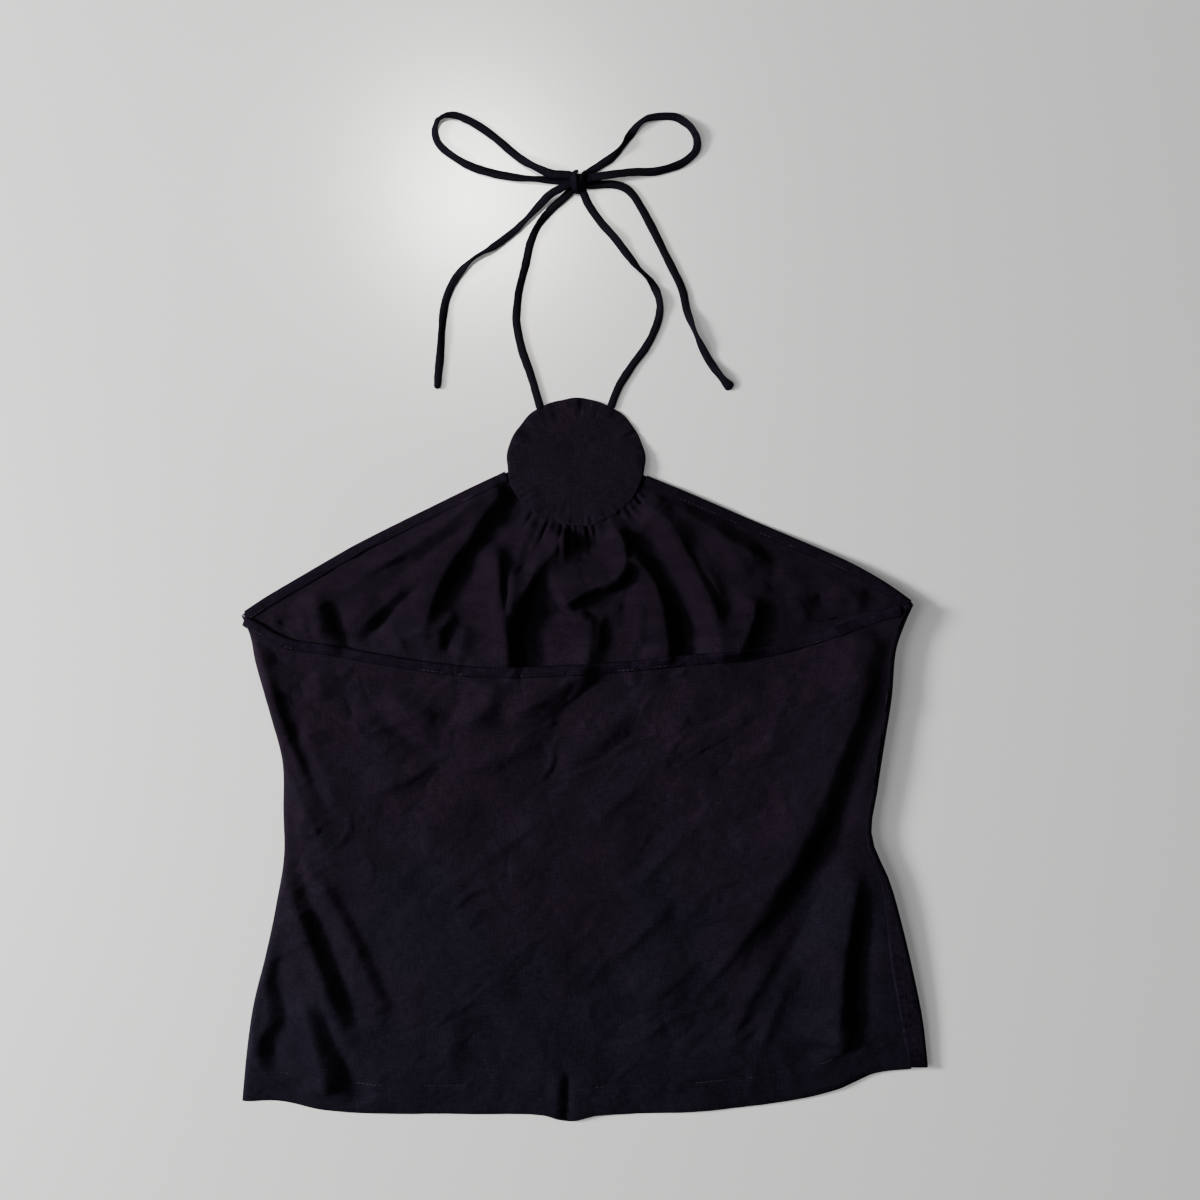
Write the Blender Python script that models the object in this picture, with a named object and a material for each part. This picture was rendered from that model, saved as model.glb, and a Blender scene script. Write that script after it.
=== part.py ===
"""Halter neck top, laid flat on its front with the ties in a bow.

The front panel lies on the surface, with its gathered top under a round neck disc. It rolls
round the right side to a side seam on top, and the back panel lies over it. Sizes are in
millimetres: x runs to the garment's right as seen from above, y from hem to neck, z is up.
The origin is below the middle of the cloth, on the surface.
"""

import math

import bmesh
import bpy
from mathutils import Vector

MM = 0.001                 # one millimetre in Blender's metres

CLOTH = 1.2                # wall of a panel, with its turned edges
BAND = 1.0                 # wall of a binding
BAND_WIDTH = 5.0
DISC_WALL = 2.4            # two layers and the seam allowance between them
GAP = 0.3                  # clearance between layers
SEAM_GAP = 0.6             # clearance at the side seam, where two bent edges meet
TIE_WIDTH = 4.4
KNOT_SIZE = (11.0, 10.6, 8.4)
KNOT_CENTRE = (-3.2, 345.2, 4.3)

HEM_LEFT_Y, CORNER_LEFT_Y = -204.9, 86.1
HEM_RIGHT_Y, CORNER_RIGHT_Y = -185.0, 92.7
DISC_CENTRE = (-5.1, 177.6)
DISC_RADII = (41.4, 38.6)
DISC_LIFT = 1.3            # rise of the disc's lower part over the gathers
DISC_STEP_FROM, DISC_STEP_TO = 22.0, -2.0   # the rise starts and ends at these y from its centre
BACK_LIFT = 1.2            # the back's rise over the front's folds at the neckline
BACK_SLOPE = 62.0          # the back comes down from the right seam over this width
NECK_FADE = 26.0           # length over which the front's folds die out below the back
GATHER_SHARE = 0.25        # how much of a fold's height is left under the disc
GATHER_REACH = 1.4         # full height from this many disc radii on

# Sides of the body, from the hem (rise 0) to the underarm corners (rise 1).
# seam_inset: from the right edge to the side seam on top. edge_lift: how far the right edge
# stands off the surface. roll: outer height of the front's roll round that edge.
SIDES = {
    "columns": ("rise", "left_x", "right_x", "seam_inset", "edge_lift", "roll"),
    "rows": (
        (0.00, -204.8, 205.4, 11.4, 0.3, 4.4),
        (0.10, -201.9, 202.2, 13.6, 0.8, 5.0),
        (0.20, -197.7, 196.5, 12.8, 1.6, 5.6),
        (0.30, -190.5, 189.9, 10.0, 2.4, 6.0),
        (0.40, -184.5, 182.1, 5.6, 3.2, 6.0),
        (0.50, -179.7, 171.0, 3.4, 3.6, 6.2),
        (0.60, -180.0, 174.3, 3.4, 3.6, 6.4),
        (0.70, -180.6, 178.5, 3.5, 3.6, 6.6),
        (0.80, -188.1, 182.7, 3.7, 4.0, 6.8),
        (0.90, -196.5, 185.1, 3.8, 4.2, 7.0),
        (0.96, -200.1, 190.6, 3.8, 4.4, 7.0),
        (1.00, -205.2, 195.6, 3.8, 4.6, 7.0),
    ),
}

# Armhole edges of the front, from the corners (rise 0) to the gathered edge (rise 1).
# bow: how far the cloth's threads sag between the two edges.
ARMHOLES = {
    "columns": ("rise", "left_x", "left_y", "right_x", "right_y", "bow"),
    "rows": (
        (0.00, -205.2, 86.1, 195.6, 92.7, 20.0),
        (0.08, -192.0, 95.0, 183.5, 101.6, 22.0),
        (0.22, -168.0, 109.0, 160.0, 115.6, 25.0),
        (0.40, -137.0, 127.0, 128.0, 130.0, 28.0),
        (0.60, -104.0, 143.7, 92.0, 145.4, 31.5),
        (0.80, -70.0, 160.3, 58.0, 160.0, 33.0),
        (0.93, -46.5, 171.4, 36.3, 168.9, 33.0),
        (1.00, -40.0, 174.4, 30.0, 171.9, 27.5),
    ),
}

# Drop of the back's two long edges below the straight line between their ends.
NECKLINE = {
    "columns": ("along", "drop"),
    "rows": (
        (0.00, 0.0), (0.03, 6.6), (0.07, 15.2), (0.12, 18.7), (0.20, 24.9), (0.28, 30.6),
        (0.37, 34.6), (0.54, 33.1), (0.65, 29.6), (0.75, 26.4), (0.82, 21.2), (0.89, 12.8),
        (0.96, 3.3), (1.00, 0.0),
    ),
}
HEM = {
    "columns": ("along", "drop"),
    "rows": (
        (0.00, 0.0), (0.06, 1.0), (0.14, 8.4), (0.24, 12.0), (0.35, 14.5), (0.45, 17.0),
        (0.49, 21.5), (0.53, 19.0), (0.67, 19.3), (0.80, 15.8), (0.88, 10.5), (0.94, 1.6),
        (1.00, 0.0),
    ),
}

# Largest folds, each a soft ridge along a bent line from start over mid to end.
FOLD_COLUMNS = ("name", "start", "mid", "end", "height", "width")
FRONT_FOLDS = (
    ("beside left armhole", (-47, 160), (-82, 138), (-118, 108), 3.2, 9.0),
    ("left of centre", (-53, 134), (-53, 101), (-46, 52), 3.8, 7.0),
    ("hooked, upper", (14, 137), (27, 116), (6, 103), 3.6, 7.0),
    ("hooked, lower", (-10, 93), (6, 85), (2, 50), 3.2, 7.0),
    ("right of centre", (26, 128), (42, 99), (49, 52), 3.8, 8.0),
    ("inner right", (30, 146), (63, 112), (79, 56), 3.6, 8.0),
    ("outer right", (86, 108), (103, 90), (90, 60), 2.8, 7.0),
)
BACK_FOLDS = (
    ("long right", (172, 48), (140, -38), (34, -145), 5.5, 16.0),
    ("right puff", (170, -60), (156, -118), (149, -176), 4.2, 11.0),
    ("long left", (-170, 50), (-150, -20), (-96, -125), 2.2, 14.0),
    ("left hem", (-165, -84), (-147, -138), (-140, -198), 2.6, 9.0),
    ("left edge", (-176, -100), (-176, -145), (-190, -192), 1.6, 8.0),
)

# Routes of the ties: x, y and z of the middle of the tube, from the disc outwards.
TIE_ROUTES = {
    "tie_left_neck": (
        (-27.0, 212.3, 3.0), (-29.1, 219.5, 2.4), (-32.4, 230.5, 2.3), (-37.5, 245.1, 2.3),
        (-40.6, 259.7, 2.3), (-40.7, 267.5, 2.3), (-39.0, 281.5, 2.3), (-35.3, 296.1, 2.3),
        (-32.4, 309.0, 2.3), (-27.3, 319.9, 2.3), (-20.0, 329.0, 2.3), (-12.2, 336.0, 2.6),
        (-8.4, 339.6, 3.0),
    ),
    "tie_right_loop": (
        (2.0, 350.4, 2.8), (10.0, 355.9, 2.3), (16.4, 360.1, 2.3), (22.2, 365.6, 2.3),
        (26.6, 372.6, 2.3), (32.4, 379.9, 2.3), (39.7, 384.0, 2.3), (52.8, 384.7, 2.3),
        (61.6, 379.9, 2.3), (67.0, 371.9, 2.3), (66.4, 363.9, 2.3), (58.7, 356.9, 2.3),
        (48.5, 352.9, 2.6), (39.7, 351.2, 3.4), (29.5, 350.6, 5.2), (17.9, 348.9, 7.0),
        (9.6, 347.6, 7.2), (3.4, 346.6, 6.6),
    ),
    "tie_left_tail": (
        (-9.4, 342.9, 6.4), (-13.9, 340.7, 6.4), (-21.0, 336.6, 5.8), (-27.0, 331.1, 3.6),
        (-34.9, 323.0, 2.3), (-43.3, 315.0, 2.3), (-55.0, 306.3, 2.3), (-66.6, 299.3, 2.3),
        (-75.4, 290.3, 2.3), (-81.2, 280.1, 2.3), (-84.1, 269.9, 2.3), (-85.3, 258.2, 2.3),
        (-86.3, 243.6, 2.3), (-87.6, 230.5, 2.3), (-88.2, 221.3, 2.3),
    ),
    "tie_right_neck": (
        (16.9, 213.8, 3.0), (20.8, 223.2, 2.4), (28.1, 234.9, 2.3), (36.8, 246.6, 2.3),
        (42.6, 258.2, 2.3), (45.1, 268.4, 2.3), (44.1, 277.2, 2.3), (39.7, 285.9, 2.3),
        (32.4, 293.5, 2.3), (25.2, 302.7, 2.3), (17.9, 312.1, 2.3), (9.1, 322.3, 2.3),
        (2.6, 331.8, 2.3), (-0.9, 339.4, 3.0),
    ),
    "tie_left_loop": (
        (-8.9, 348.3, 6.8), (-20.0, 349.2, 7.0), (-30.2, 353.8, 5.0), (-40.4, 360.9, 2.6),
        (-50.6, 369.7, 2.3), (-60.8, 377.4, 2.3), (-71.0, 383.2, 2.3), (-79.8, 385.7, 2.3),
        (-87.0, 383.1, 2.3), (-89.7, 376.2, 2.3), (-87.3, 368.5, 2.3), (-80.5, 362.0, 2.3),
        (-69.6, 355.5, 2.3), (-55.0, 350.7, 2.3), (-40.4, 348.1, 2.3), (-25.8, 347.0, 2.3),
        (-17.1, 346.4, 2.3), (-9.0, 346.2, 2.6),
    ),
    "tie_right_tail": (
        (2.6, 343.6, 2.5), (9.5, 344.0, 2.3), (17.6, 343.9, 2.3), (25.2, 341.4, 2.3),
        (31.0, 335.0, 2.3), (38.3, 322.3, 2.3), (45.6, 307.8, 2.3), (52.8, 293.2, 2.3),
        (58.4, 281.5, 2.3), (61.6, 267.7, 2.3), (67.4, 252.4, 2.3), (74.7, 238.5, 2.3),
        (82.0, 228.3, 2.3), (88.3, 221.5, 2.3),
    ),
}
TIE_STEP = 11.4            # distance between the points of a tube's spline
FOLD_STEPS = 14            # places along a fold's bent line that its height is measured from


def between(low, high, share):
    return low + (high - low) * share


def smooth_step(low, high, value):
    share = min(max((value - low) / (high - low), 0.0), 1.0)
    return share * share * (3.0 - 2.0 * share)


def read_table(table, column, at):
    """Value of a column at a key of the first column, on a smooth curve through the rows."""
    rows = table["rows"]
    place = table["columns"].index(column)
    keys = [row[0] for row in rows]
    values = [row[place] for row in rows]
    last = len(rows) - 1
    low = max(index for index in range(last) if index == 0 or keys[index] <= at)

    def slope(index):
        before, after = max(index - 1, 0), min(index + 1, last)
        return (values[after] - values[before]) / (keys[after] - keys[before])

    span = keys[low + 1] - keys[low]
    share = (at - keys[low]) / span
    turn = share * share * (3.0 - 2.0 * share)
    leave = share * (1.0 - share) ** 2 * span * slope(low)
    arrive = share * share * (share - 1.0) * span * slope(low + 1)
    return between(values[low], values[low + 1], turn) + leave + arrive


def bent_line(start, mid, end, share):
    """Point on a curve that leaves start, passes mid halfway and reaches end."""
    start, mid, end = Vector(start), Vector(mid), Vector(end)
    pull = 2.0 * mid - (start + end) / 2.0
    return start * (1 - share) ** 2 + pull * 2 * share * (1 - share) + end * share ** 2


def fold_height(folds, x, y):
    """Height of the highest fold at a place, with each fold soft at its sides and ends."""
    here = Vector((x, y))
    highest = 0.0
    for row in folds:
        fold = dict(zip(FOLD_COLUMNS, row))
        for step in range(FOLD_STEPS + 1):
            share = step / FOLD_STEPS
            away = (here - bent_line(fold["start"], fold["mid"], fold["end"], share)).length
            taper = smooth_step(-0.1, 0.25, share) * smooth_step(1.15, 0.7, share)
            highest = max(highest, fold["height"] * taper * math.exp(-(away / fold["width"]) ** 2))
    return highest


def side_y(rise, along):
    left = between(HEM_LEFT_Y, CORNER_LEFT_Y, rise)
    right = between(HEM_RIGHT_Y, CORNER_RIGHT_Y, rise)
    return between(left, right, along)


def neckline_y(along):
    return side_y(1.0, along) - read_table(NECKLINE, "drop", along)


def disc_share(x, y):
    """Distance from the disc's centre, 1 at its rim."""
    return math.hypot((x - DISC_CENTRE[0]) / DISC_RADII[0], (y - DISC_CENTRE[1]) / DISC_RADII[1])


# ---------------------------------------------------------------- front panel

FRONT_COLUMNS, BACK_COLUMNS = 40, 34
BODY_ROWS, YOKE_ROWS = 16, 10               # below and above the underarm corners
CORNER_ROW = BODY_ROWS / (BODY_ROWS + YOKE_ROWS)
FLAT_COLUMNS = 0.9         # share of its columns on the surface, the rest roll round the right
ROLL_SHARE = 0.7           # share of the rolled columns in the round, the rest run to the seam
LIFT_REACH = 45.0          # how far in from the right edge the panel rises off the surface


def right_rise(x, edge_x, lift):
    return lift * smooth_step(edge_x - LIFT_REACH, edge_x, x)


def front_body(along, wrap, rise):
    """Front panel below the corners: flat, then rolled round the right side to the seam."""
    left_x = read_table(SIDES, "left_x", rise)
    right_x = read_table(SIDES, "right_x", rise)
    inset = read_table(SIDES, "seam_inset", rise)
    lift = read_table(SIDES, "edge_lift", rise)
    radius = read_table(SIDES, "roll", rise) / 2.0
    shape = 1.0 - (2.0 * along - 1.0) ** 2
    drop = between(read_table(HEM, "drop", along), shape * ARMHOLES["rows"][0][5], rise)
    y = side_y(rise, along) - drop
    if wrap == 0.0:
        x = between(left_x, right_x - radius, along)
        z = right_rise(x, right_x - radius, lift)
    else:
        turned = min(wrap / ROLL_SHARE, 1.0) * math.pi
        run = max(wrap - ROLL_SHARE, 0.0) / (1.0 - ROLL_SHARE)
        x = right_x - radius + radius * math.sin(turned) - run * (inset - radius)
        z = lift + radius - radius * math.cos(turned)
    return x, y, z


def front_yoke(along, rise):
    """Front panel above the corners, drawn in to the gathered edge under the disc."""
    left = Vector([read_table(ARMHOLES, key, rise) for key in ("left_x", "left_y")])
    right = Vector([read_table(ARMHOLES, key, rise) for key in ("right_x", "right_y")])
    rounding = smooth_step(0.3, 1.0, rise)
    spaced = between(along, (1.0 - math.cos(math.pi * along)) / 2.0, rounding)
    shape = (1.0 - (2.0 * spaced - 1.0) ** 2) ** between(1.0, 0.5, rounding)
    point = left.lerp(right, spaced)
    y = point.y - read_table(ARMHOLES, "bow", rise) * shape
    lift = SIDES["rows"][-1][4] * smooth_step(0.5, 0.0, rise)
    return point.x, y, right_rise(point.x, right.x, lift)


def front_place(across, up):
    """Outer face of the front panel, with its folds."""
    along = min(across / FLAT_COLUMNS, 1.0)
    wrap = max(across - FLAT_COLUMNS, 0.0) / (1.0 - FLAT_COLUMNS)
    if up <= CORNER_ROW:
        x, y, z = front_body(along, wrap, up / CORNER_ROW)
    else:
        x, y, z = front_yoke(along, (up - CORNER_ROW) / (1.0 - CORNER_ROW))
    if wrap == 0.0:
        left_x, right_x = SIDES["rows"][-1][1:3]
        neck = neckline_y(min(max((x - left_x) / (right_x - left_x), 0.0), 1.0))
        below_disc = between(GATHER_SHARE, 1.0, smooth_step(1.0, GATHER_REACH, disc_share(x, y)))
        shown = smooth_step(neck - NECK_FADE, neck + 6.0, y)
        z += fold_height(FRONT_FOLDS, x, y) * shown * below_disc
    return x, y, z


# ---------------------------------------------------------------- back panel

def back_place(along, rise):
    """Under face of the back panel, which lies on the front and joins it at the right seam."""
    left_x = read_table(SIDES, "left_x", rise)
    right_x = read_table(SIDES, "right_x", rise)
    seam_x = right_x - read_table(SIDES, "seam_inset", rise) - SEAM_GAP
    seam_z = read_table(SIDES, "edge_lift", rise) + read_table(SIDES, "roll", rise) - CLOTH
    hem_drop = read_table(HEM, "drop", along)
    neck_drop = read_table(NECKLINE, "drop", along)
    x = between(left_x, seam_x, along)
    y = side_y(rise, along) - between(hem_drop, neck_drop, rise)
    rest = CLOTH + GAP + BACK_LIFT * smooth_step(0.8, 1.0, rise) * smooth_step(0.0, 0.15, along)
    edge = smooth_step(seam_x - BACK_SLOPE, seam_x, x)
    z = between(rest, seam_z, edge ** 1.3)
    return x, y, z + fold_height(BACK_FOLDS, x, y) * (1.0 - edge ** 2)


# ---------------------------------------------------------------- neck disc

def disc_place(across, up):
    """Under face of the disc, a square grid drawn out to an ellipse."""
    a, b = 2.0 * across - 1.0, 2.0 * up - 1.0
    x = DISC_CENTRE[0] + DISC_RADII[0] * a * math.sqrt(1.0 - b * b / 2.0)
    y = DISC_CENTRE[1] + DISC_RADII[1] * b * math.sqrt(1.0 - a * a / 2.0)
    raised = smooth_step(DISC_CENTRE[1] + DISC_STEP_FROM, DISC_CENTRE[1] + DISC_STEP_TO, y)
    return x, y, (CLOTH + GAP + DISC_LIFT) * raised


# ---------------------------------------------------------------- bindings

def on_back_neckline(along, across):
    """Under face of the neckline's binding, on the back panel's top edge."""
    rise = 1.0 - (1.0 - across) * BAND_WIDTH / (CORNER_LEFT_Y - HEM_LEFT_Y)
    x, y, z = back_place(between(0.004, 0.996, along), rise)
    return x, y, z + CLOTH + GAP


def on_armhole(side):
    """Under face of an armhole's binding, on the front panel's slanting edge."""
    def place(along, across):
        rise = between(0.075, 0.915, along)
        up = CORNER_ROW + (1.0 - CORNER_ROW) * rise
        depth = BAND_WIDTH * (1.0 - across) if side == "left" else BAND_WIDTH * across
        width = read_table(ARMHOLES, "right_x", rise) - read_table(ARMHOLES, "left_x", rise)
        share = depth / width
        inward = share if side == "left" else 1.0 - share
        x, y, z = front_place(inward * FLAT_COLUMNS, up)
        return x, y, z + CLOTH + GAP
    return place


# ---------------------------------------------------------------- making the objects

def cloth_material(name, colour, roughness):
    material = bpy.data.materials.new(name)
    material.use_nodes = True
    shader = material.node_tree.nodes["Principled BSDF"]
    shader.inputs["Base Color"].default_value = (*colour, 1.0)
    shader.inputs["Roughness"].default_value = roughness
    shader.inputs["Metallic"].default_value = 0.0
    return material


def cloth_sheet(name, columns, rows, place, wall, material, keep=None):
    """A grid moved to place(across, up), given its wall on the side that its normals point to."""
    shape = bmesh.new()
    bmesh.ops.create_grid(shape, x_segments=columns, y_segments=rows, size=1.0)
    if keep:
        cut = [face for face in shape.faces if not keep(*grid_share(face.calc_center_median()))]
        bmesh.ops.delete(shape, geom=cut, context="FACES")
    for vertex in shape.verts:
        vertex.co = Vector(place(*grid_share(vertex.co))) * MM
    mesh = bpy.data.meshes.new(name)
    shape.to_mesh(mesh)
    shape.free()
    mesh.shade_smooth()
    mesh.materials.append(material)
    piece = bpy.data.objects.new(name, mesh)
    bpy.context.collection.objects.link(piece)
    solid = piece.modifiers.new("Wall", "SOLIDIFY")
    solid.thickness = wall * MM
    solid.offset = 1.0
    solid.use_even_offset = True
    return piece


def grid_share(point):
    return round((point.x + 1.0) / 2.0, 6), round((point.y + 1.0) / 2.0, 6)


def smooth_route(points, step):
    """Points at an even step along a smooth curve through a route's own points."""
    route = [Vector(point) for point in points]
    ends = [2 * route[0] - route[1]] + route + [2 * route[-1] - route[-2]]
    fine = []
    for index in range(1, len(ends) - 2):
        before, here, after, beyond = ends[index - 1:index + 3]
        for part in range(10):
            t = part / 10
            fine.append(0.5 * (2 * here + (after - before) * t
                               + (2 * before - 5 * here + 4 * after - beyond) * t ** 2
                               + (3 * here - before - 3 * after + beyond) * t ** 3))
    fine.append(route[-1])
    length = sum((b - a).length for a, b in zip(fine, fine[1:]))
    count = max(round(length / step), 2)
    picked, walked, target = [fine[0]], 0.0, length / count
    for a, b in zip(fine, fine[1:]):
        walked += (b - a).length
        if walked >= target and len(picked) < count:
            picked.append(b)
            target += length / count
    picked.append(fine[-1])
    return picked


def tie_tube(name, route, material):
    curve = bpy.data.curves.new(name, "CURVE")
    curve.dimensions = "3D"
    curve.bevel_depth = TIE_WIDTH / 2.0 * MM
    curve.bevel_resolution = 2
    curve.use_fill_caps = True
    curve.render_resolution_u = 0
    points = smooth_route(route, TIE_STEP)
    spline = curve.splines.new("POLY")
    spline.points.add(len(points) - 1)
    for spot, point in zip(spline.points, points):
        spot.co = (*(point * MM), 1.0)
    curve.materials.append(material)
    piece = bpy.data.objects.new(name, curve)
    bpy.context.collection.objects.link(piece)
    return piece


def knot(name, material):
    shape = bmesh.new()
    bmesh.ops.create_uvsphere(shape, u_segments=16, v_segments=10, radius=0.5)
    bmesh.ops.scale(shape, vec=Vector(KNOT_SIZE) * MM, verts=shape.verts)
    bmesh.ops.translate(shape, vec=Vector(KNOT_CENTRE) * MM, verts=shape.verts)
    mesh = bpy.data.meshes.new(name)
    shape.to_mesh(mesh)
    shape.free()
    mesh.shade_smooth()
    mesh.materials.append(material)
    piece = bpy.data.objects.new(name, mesh)
    bpy.context.collection.objects.link(piece)
    return piece


def below_corner_or_flat(across, up):
    return up < CORNER_ROW or across < FLAT_COLUMNS


def main():
    for old in list(bpy.data.objects):
        bpy.data.objects.remove(old)
    cotton = cloth_material("black_cotton", (0.011, 0.0095, 0.013), 0.85)
    binding = cloth_material("black_binding", (0.012, 0.0105, 0.014), 0.8)
    rouleau = cloth_material("black_rouleau", (0.013, 0.012, 0.015), 0.75)

    cloth_sheet("front_panel", FRONT_COLUMNS, BODY_ROWS + YOKE_ROWS, front_place, CLOTH, cotton,
                keep=below_corner_or_flat)
    cloth_sheet("back_panel", BACK_COLUMNS, BODY_ROWS, back_place, CLOTH, cotton)
    cloth_sheet("neck_disc", 14, 14, disc_place, DISC_WALL, cotton)
    cloth_sheet("back_neck_band", BACK_COLUMNS, 1, on_back_neckline, BAND, binding)
    for side in ("left", "right"):
        cloth_sheet("armhole_band_" + side, 16, 1, on_armhole(side), BAND, binding)
    for name, route in TIE_ROUTES.items():
        tie_tube(name, route, rouleau)
    knot("tie_knot", rouleau)


main()
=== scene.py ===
# Halter neck top in black cotton, laid flat on a pale table with its back uppermost and its ties in a bow.
# Sizes in the dictionaries are millimetres in the model's own frame, and mm turns them into metres.
import math

import bmesh
import bpy
import numpy as np
from mathutils import Matrix, Vector


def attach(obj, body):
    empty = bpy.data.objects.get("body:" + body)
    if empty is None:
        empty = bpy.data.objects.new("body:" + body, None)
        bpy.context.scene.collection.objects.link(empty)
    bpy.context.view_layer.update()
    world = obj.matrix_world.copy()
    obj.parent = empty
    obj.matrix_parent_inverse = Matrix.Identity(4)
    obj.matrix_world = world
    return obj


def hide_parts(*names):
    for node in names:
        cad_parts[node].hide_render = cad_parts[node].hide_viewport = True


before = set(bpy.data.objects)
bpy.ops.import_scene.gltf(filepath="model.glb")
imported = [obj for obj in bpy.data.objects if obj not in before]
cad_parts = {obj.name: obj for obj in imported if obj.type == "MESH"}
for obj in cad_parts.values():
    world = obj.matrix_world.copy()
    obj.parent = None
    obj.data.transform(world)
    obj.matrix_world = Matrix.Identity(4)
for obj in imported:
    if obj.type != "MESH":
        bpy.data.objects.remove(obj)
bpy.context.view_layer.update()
mm = 0.001

cameraSetup = {"height": 780, "frameWidth": 720, "middleX": 9.3, "middleY": 95.1, "sensor": 36}


def makeCamera(setup):
    camera = bpy.data.cameras.new("camera")
    camera.sensor_width = setup["sensor"]
    camera.lens = setup["sensor"] * setup["height"] / setup["frameWidth"]
    holder = bpy.data.objects.new("camera", camera)
    holder.location = Vector((setup["middleX"], setup["middleY"], setup["height"])) * mm
    bpy.context.scene.collection.objects.link(holder)
    bpy.context.scene.camera = holder


lightSetup = {
    "window": {"place": (-1.80, 0.26, 0.82), "size": 0.46, "power": 94.0, "colour": (1.0, 0.975, 0.955)},
    "room": {"place": (-1.6, -0.15, 1.65), "size": 1.3, "power": 26.0, "colour": (1.0, 0.99, 0.985)},
    "glint": {"place": (-0.17, 0.66, 1.05), "size": 0.07, "power": 30.0, "colour": (1.0, 0.98, 0.93)},
    "worldColour": (0.74, 0.80, 1.0), "worldStrength": 0.034,
}


def makeLights(setup):
    middle = Vector((0.0, 0.05, 0.0))
    for name in ("window", "room", "glint"):
        row = setup[name]
        light = bpy.data.lights.new(name, "AREA")
        light.shape = "DISK"
        light.size = row["size"]
        light.energy = row["power"]
        light.color = row["colour"]
        holder = bpy.data.objects.new(name, light)
        holder.location = row["place"]
        holder.visible_diffuse = name != "glint"  # the glint is only a soft shine on the table
        holder.rotation_euler = (middle - Vector(row["place"])).to_track_quat("-Z", "Y").to_euler()
        bpy.context.scene.collection.objects.link(holder)
    world = bpy.data.worlds.new("room")
    world.use_nodes = True
    sky = world.node_tree.nodes["Background"]
    sky.inputs["Color"].default_value = (*setup["worldColour"], 1.0)
    sky.inputs["Strength"].default_value = setup["worldStrength"]
    bpy.context.scene.world = world


makeCamera(cameraSetup)
makeLights(lightSetup)
print("camera and lights placed")


def smoothStep(low, high, value):
    share = np.clip((value - low) / (high - low), 0.0, 1.0)
    return share * share * (3.0 - 2.0 * share)


def between(low, high, share):
    return low + (high - low) * share


def readTable(table, column, at):  # a column's value on a smooth curve through the rows
    rows = np.array(table["rows"], float)
    keys, values = rows[:, 0], rows[:, table["columns"].index(column)]
    last = len(keys) - 1
    before, after = np.maximum(np.arange(last + 1) - 1, 0), np.minimum(np.arange(last + 1) + 1, last)
    slopes = (values[after] - values[before]) / (keys[after] - keys[before])
    low = np.clip(np.searchsorted(keys, at, "right") - 1, 0, last - 1)
    span = keys[low + 1] - keys[low]
    share = np.clip((at - keys[low]) / span, 0.0, 1.0)
    turn = share * share * (3.0 - 2.0 * share)
    leave = share * (1.0 - share) ** 2 * span * slopes[low]
    arrive = share * share * (share - 1.0) * span * slopes[low + 1]
    return between(values[low], values[low + 1], turn) + leave + arrive


def smoothPath(points, perSpan):  # points on a smooth curve through a path's own points
    route = np.array(points, float)
    route = np.vstack([2 * route[0] - route[1], route, 2 * route[-1] - route[-2]])
    share = (np.arange(perSpan) / perSpan)[:, None]
    parts = []
    for before, here, after, beyond in zip(route, route[1:], route[2:], route[3:]):
        parts.append(0.5 * (2 * here + (after - before) * share
                            + (2 * before - 5 * here + 4 * after - beyond) * share ** 2
                            + (3 * here - before - 3 * after + beyond) * share ** 3))
    return np.vstack(parts + [route[-2:-1]])


def evenPath(points, step):  # the same curve with its points an even step apart
    fine = smoothPath(points, 24)
    walked = np.concatenate([[0.0], np.cumsum(np.linalg.norm(np.diff(fine, axis=0), axis=1))])
    count = max(int(round(walked[-1] / step)), 2)
    marks = np.linspace(0.0, walked[-1], count + 1)
    return np.stack([np.interp(marks, walked, fine[:, axis]) for axis in range(fine.shape[1])], axis=1)


def softNoise(x, y, size, seed):  # smooth noise from -1 to 1 whose lumps are about size across
    lattice = np.random.default_rng(seed).random((97, 97)) * 2.0 - 1.0
    u, v = x / size + 31.7, y / size + 47.3
    column, row = np.floor(u).astype(int), np.floor(v).astype(int)
    s, t = smoothStep(0.0, 1.0, u - column), smoothStep(0.0, 1.0, v - row)
    low = between(lattice[column % 97, row % 97], lattice[(column + 1) % 97, row % 97], s)
    high = between(lattice[column % 97, (row + 1) % 97], lattice[(column + 1) % 97, (row + 1) % 97], s)
    return between(low, high, t)


def crumple(x, y, seed):  # the faint lumps and thin crossing creases of worn cotton, in mm
    bentX = x + 7.0 * softNoise(x, y, 19.0, seed + 1)
    bentY = y + 7.0 * softNoise(x, y, 23.0, seed + 2)
    lean, cross = 0.88 * bentX + 0.47 * bentY, 0.88 * bentY - 0.47 * bentX
    lumps = 0.55 * softNoise(bentX, bentY, 31.0, seed + 3) + 0.2 * softNoise(bentX, bentY, 12.0, seed + 4)
    crease = (1.0 - np.abs(softNoise(cross, lean * 0.35, 13.0, seed + 5))) ** 6
    thin = (1.0 - np.abs(softNoise(cross * 0.9, lean * 0.5, 8.0, seed + 6))) ** 6
    patch = smoothStep(-0.2, 0.6, softNoise(x, y, 37.0, seed + 8))
    small = 0.07 * softNoise(bentX, bentY, 4.5, seed + 7) + 0.035 * softNoise(bentX, bentY, 2.4, seed + 9)
    return 1.5 * lumps + (0.55 * crease - 0.40 * thin) * between(0.3, 1.0, patch) + 1.3 * small


foldColumns = ("path", "height", "left", "right", "fadeIn", "fadeOut")


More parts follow.
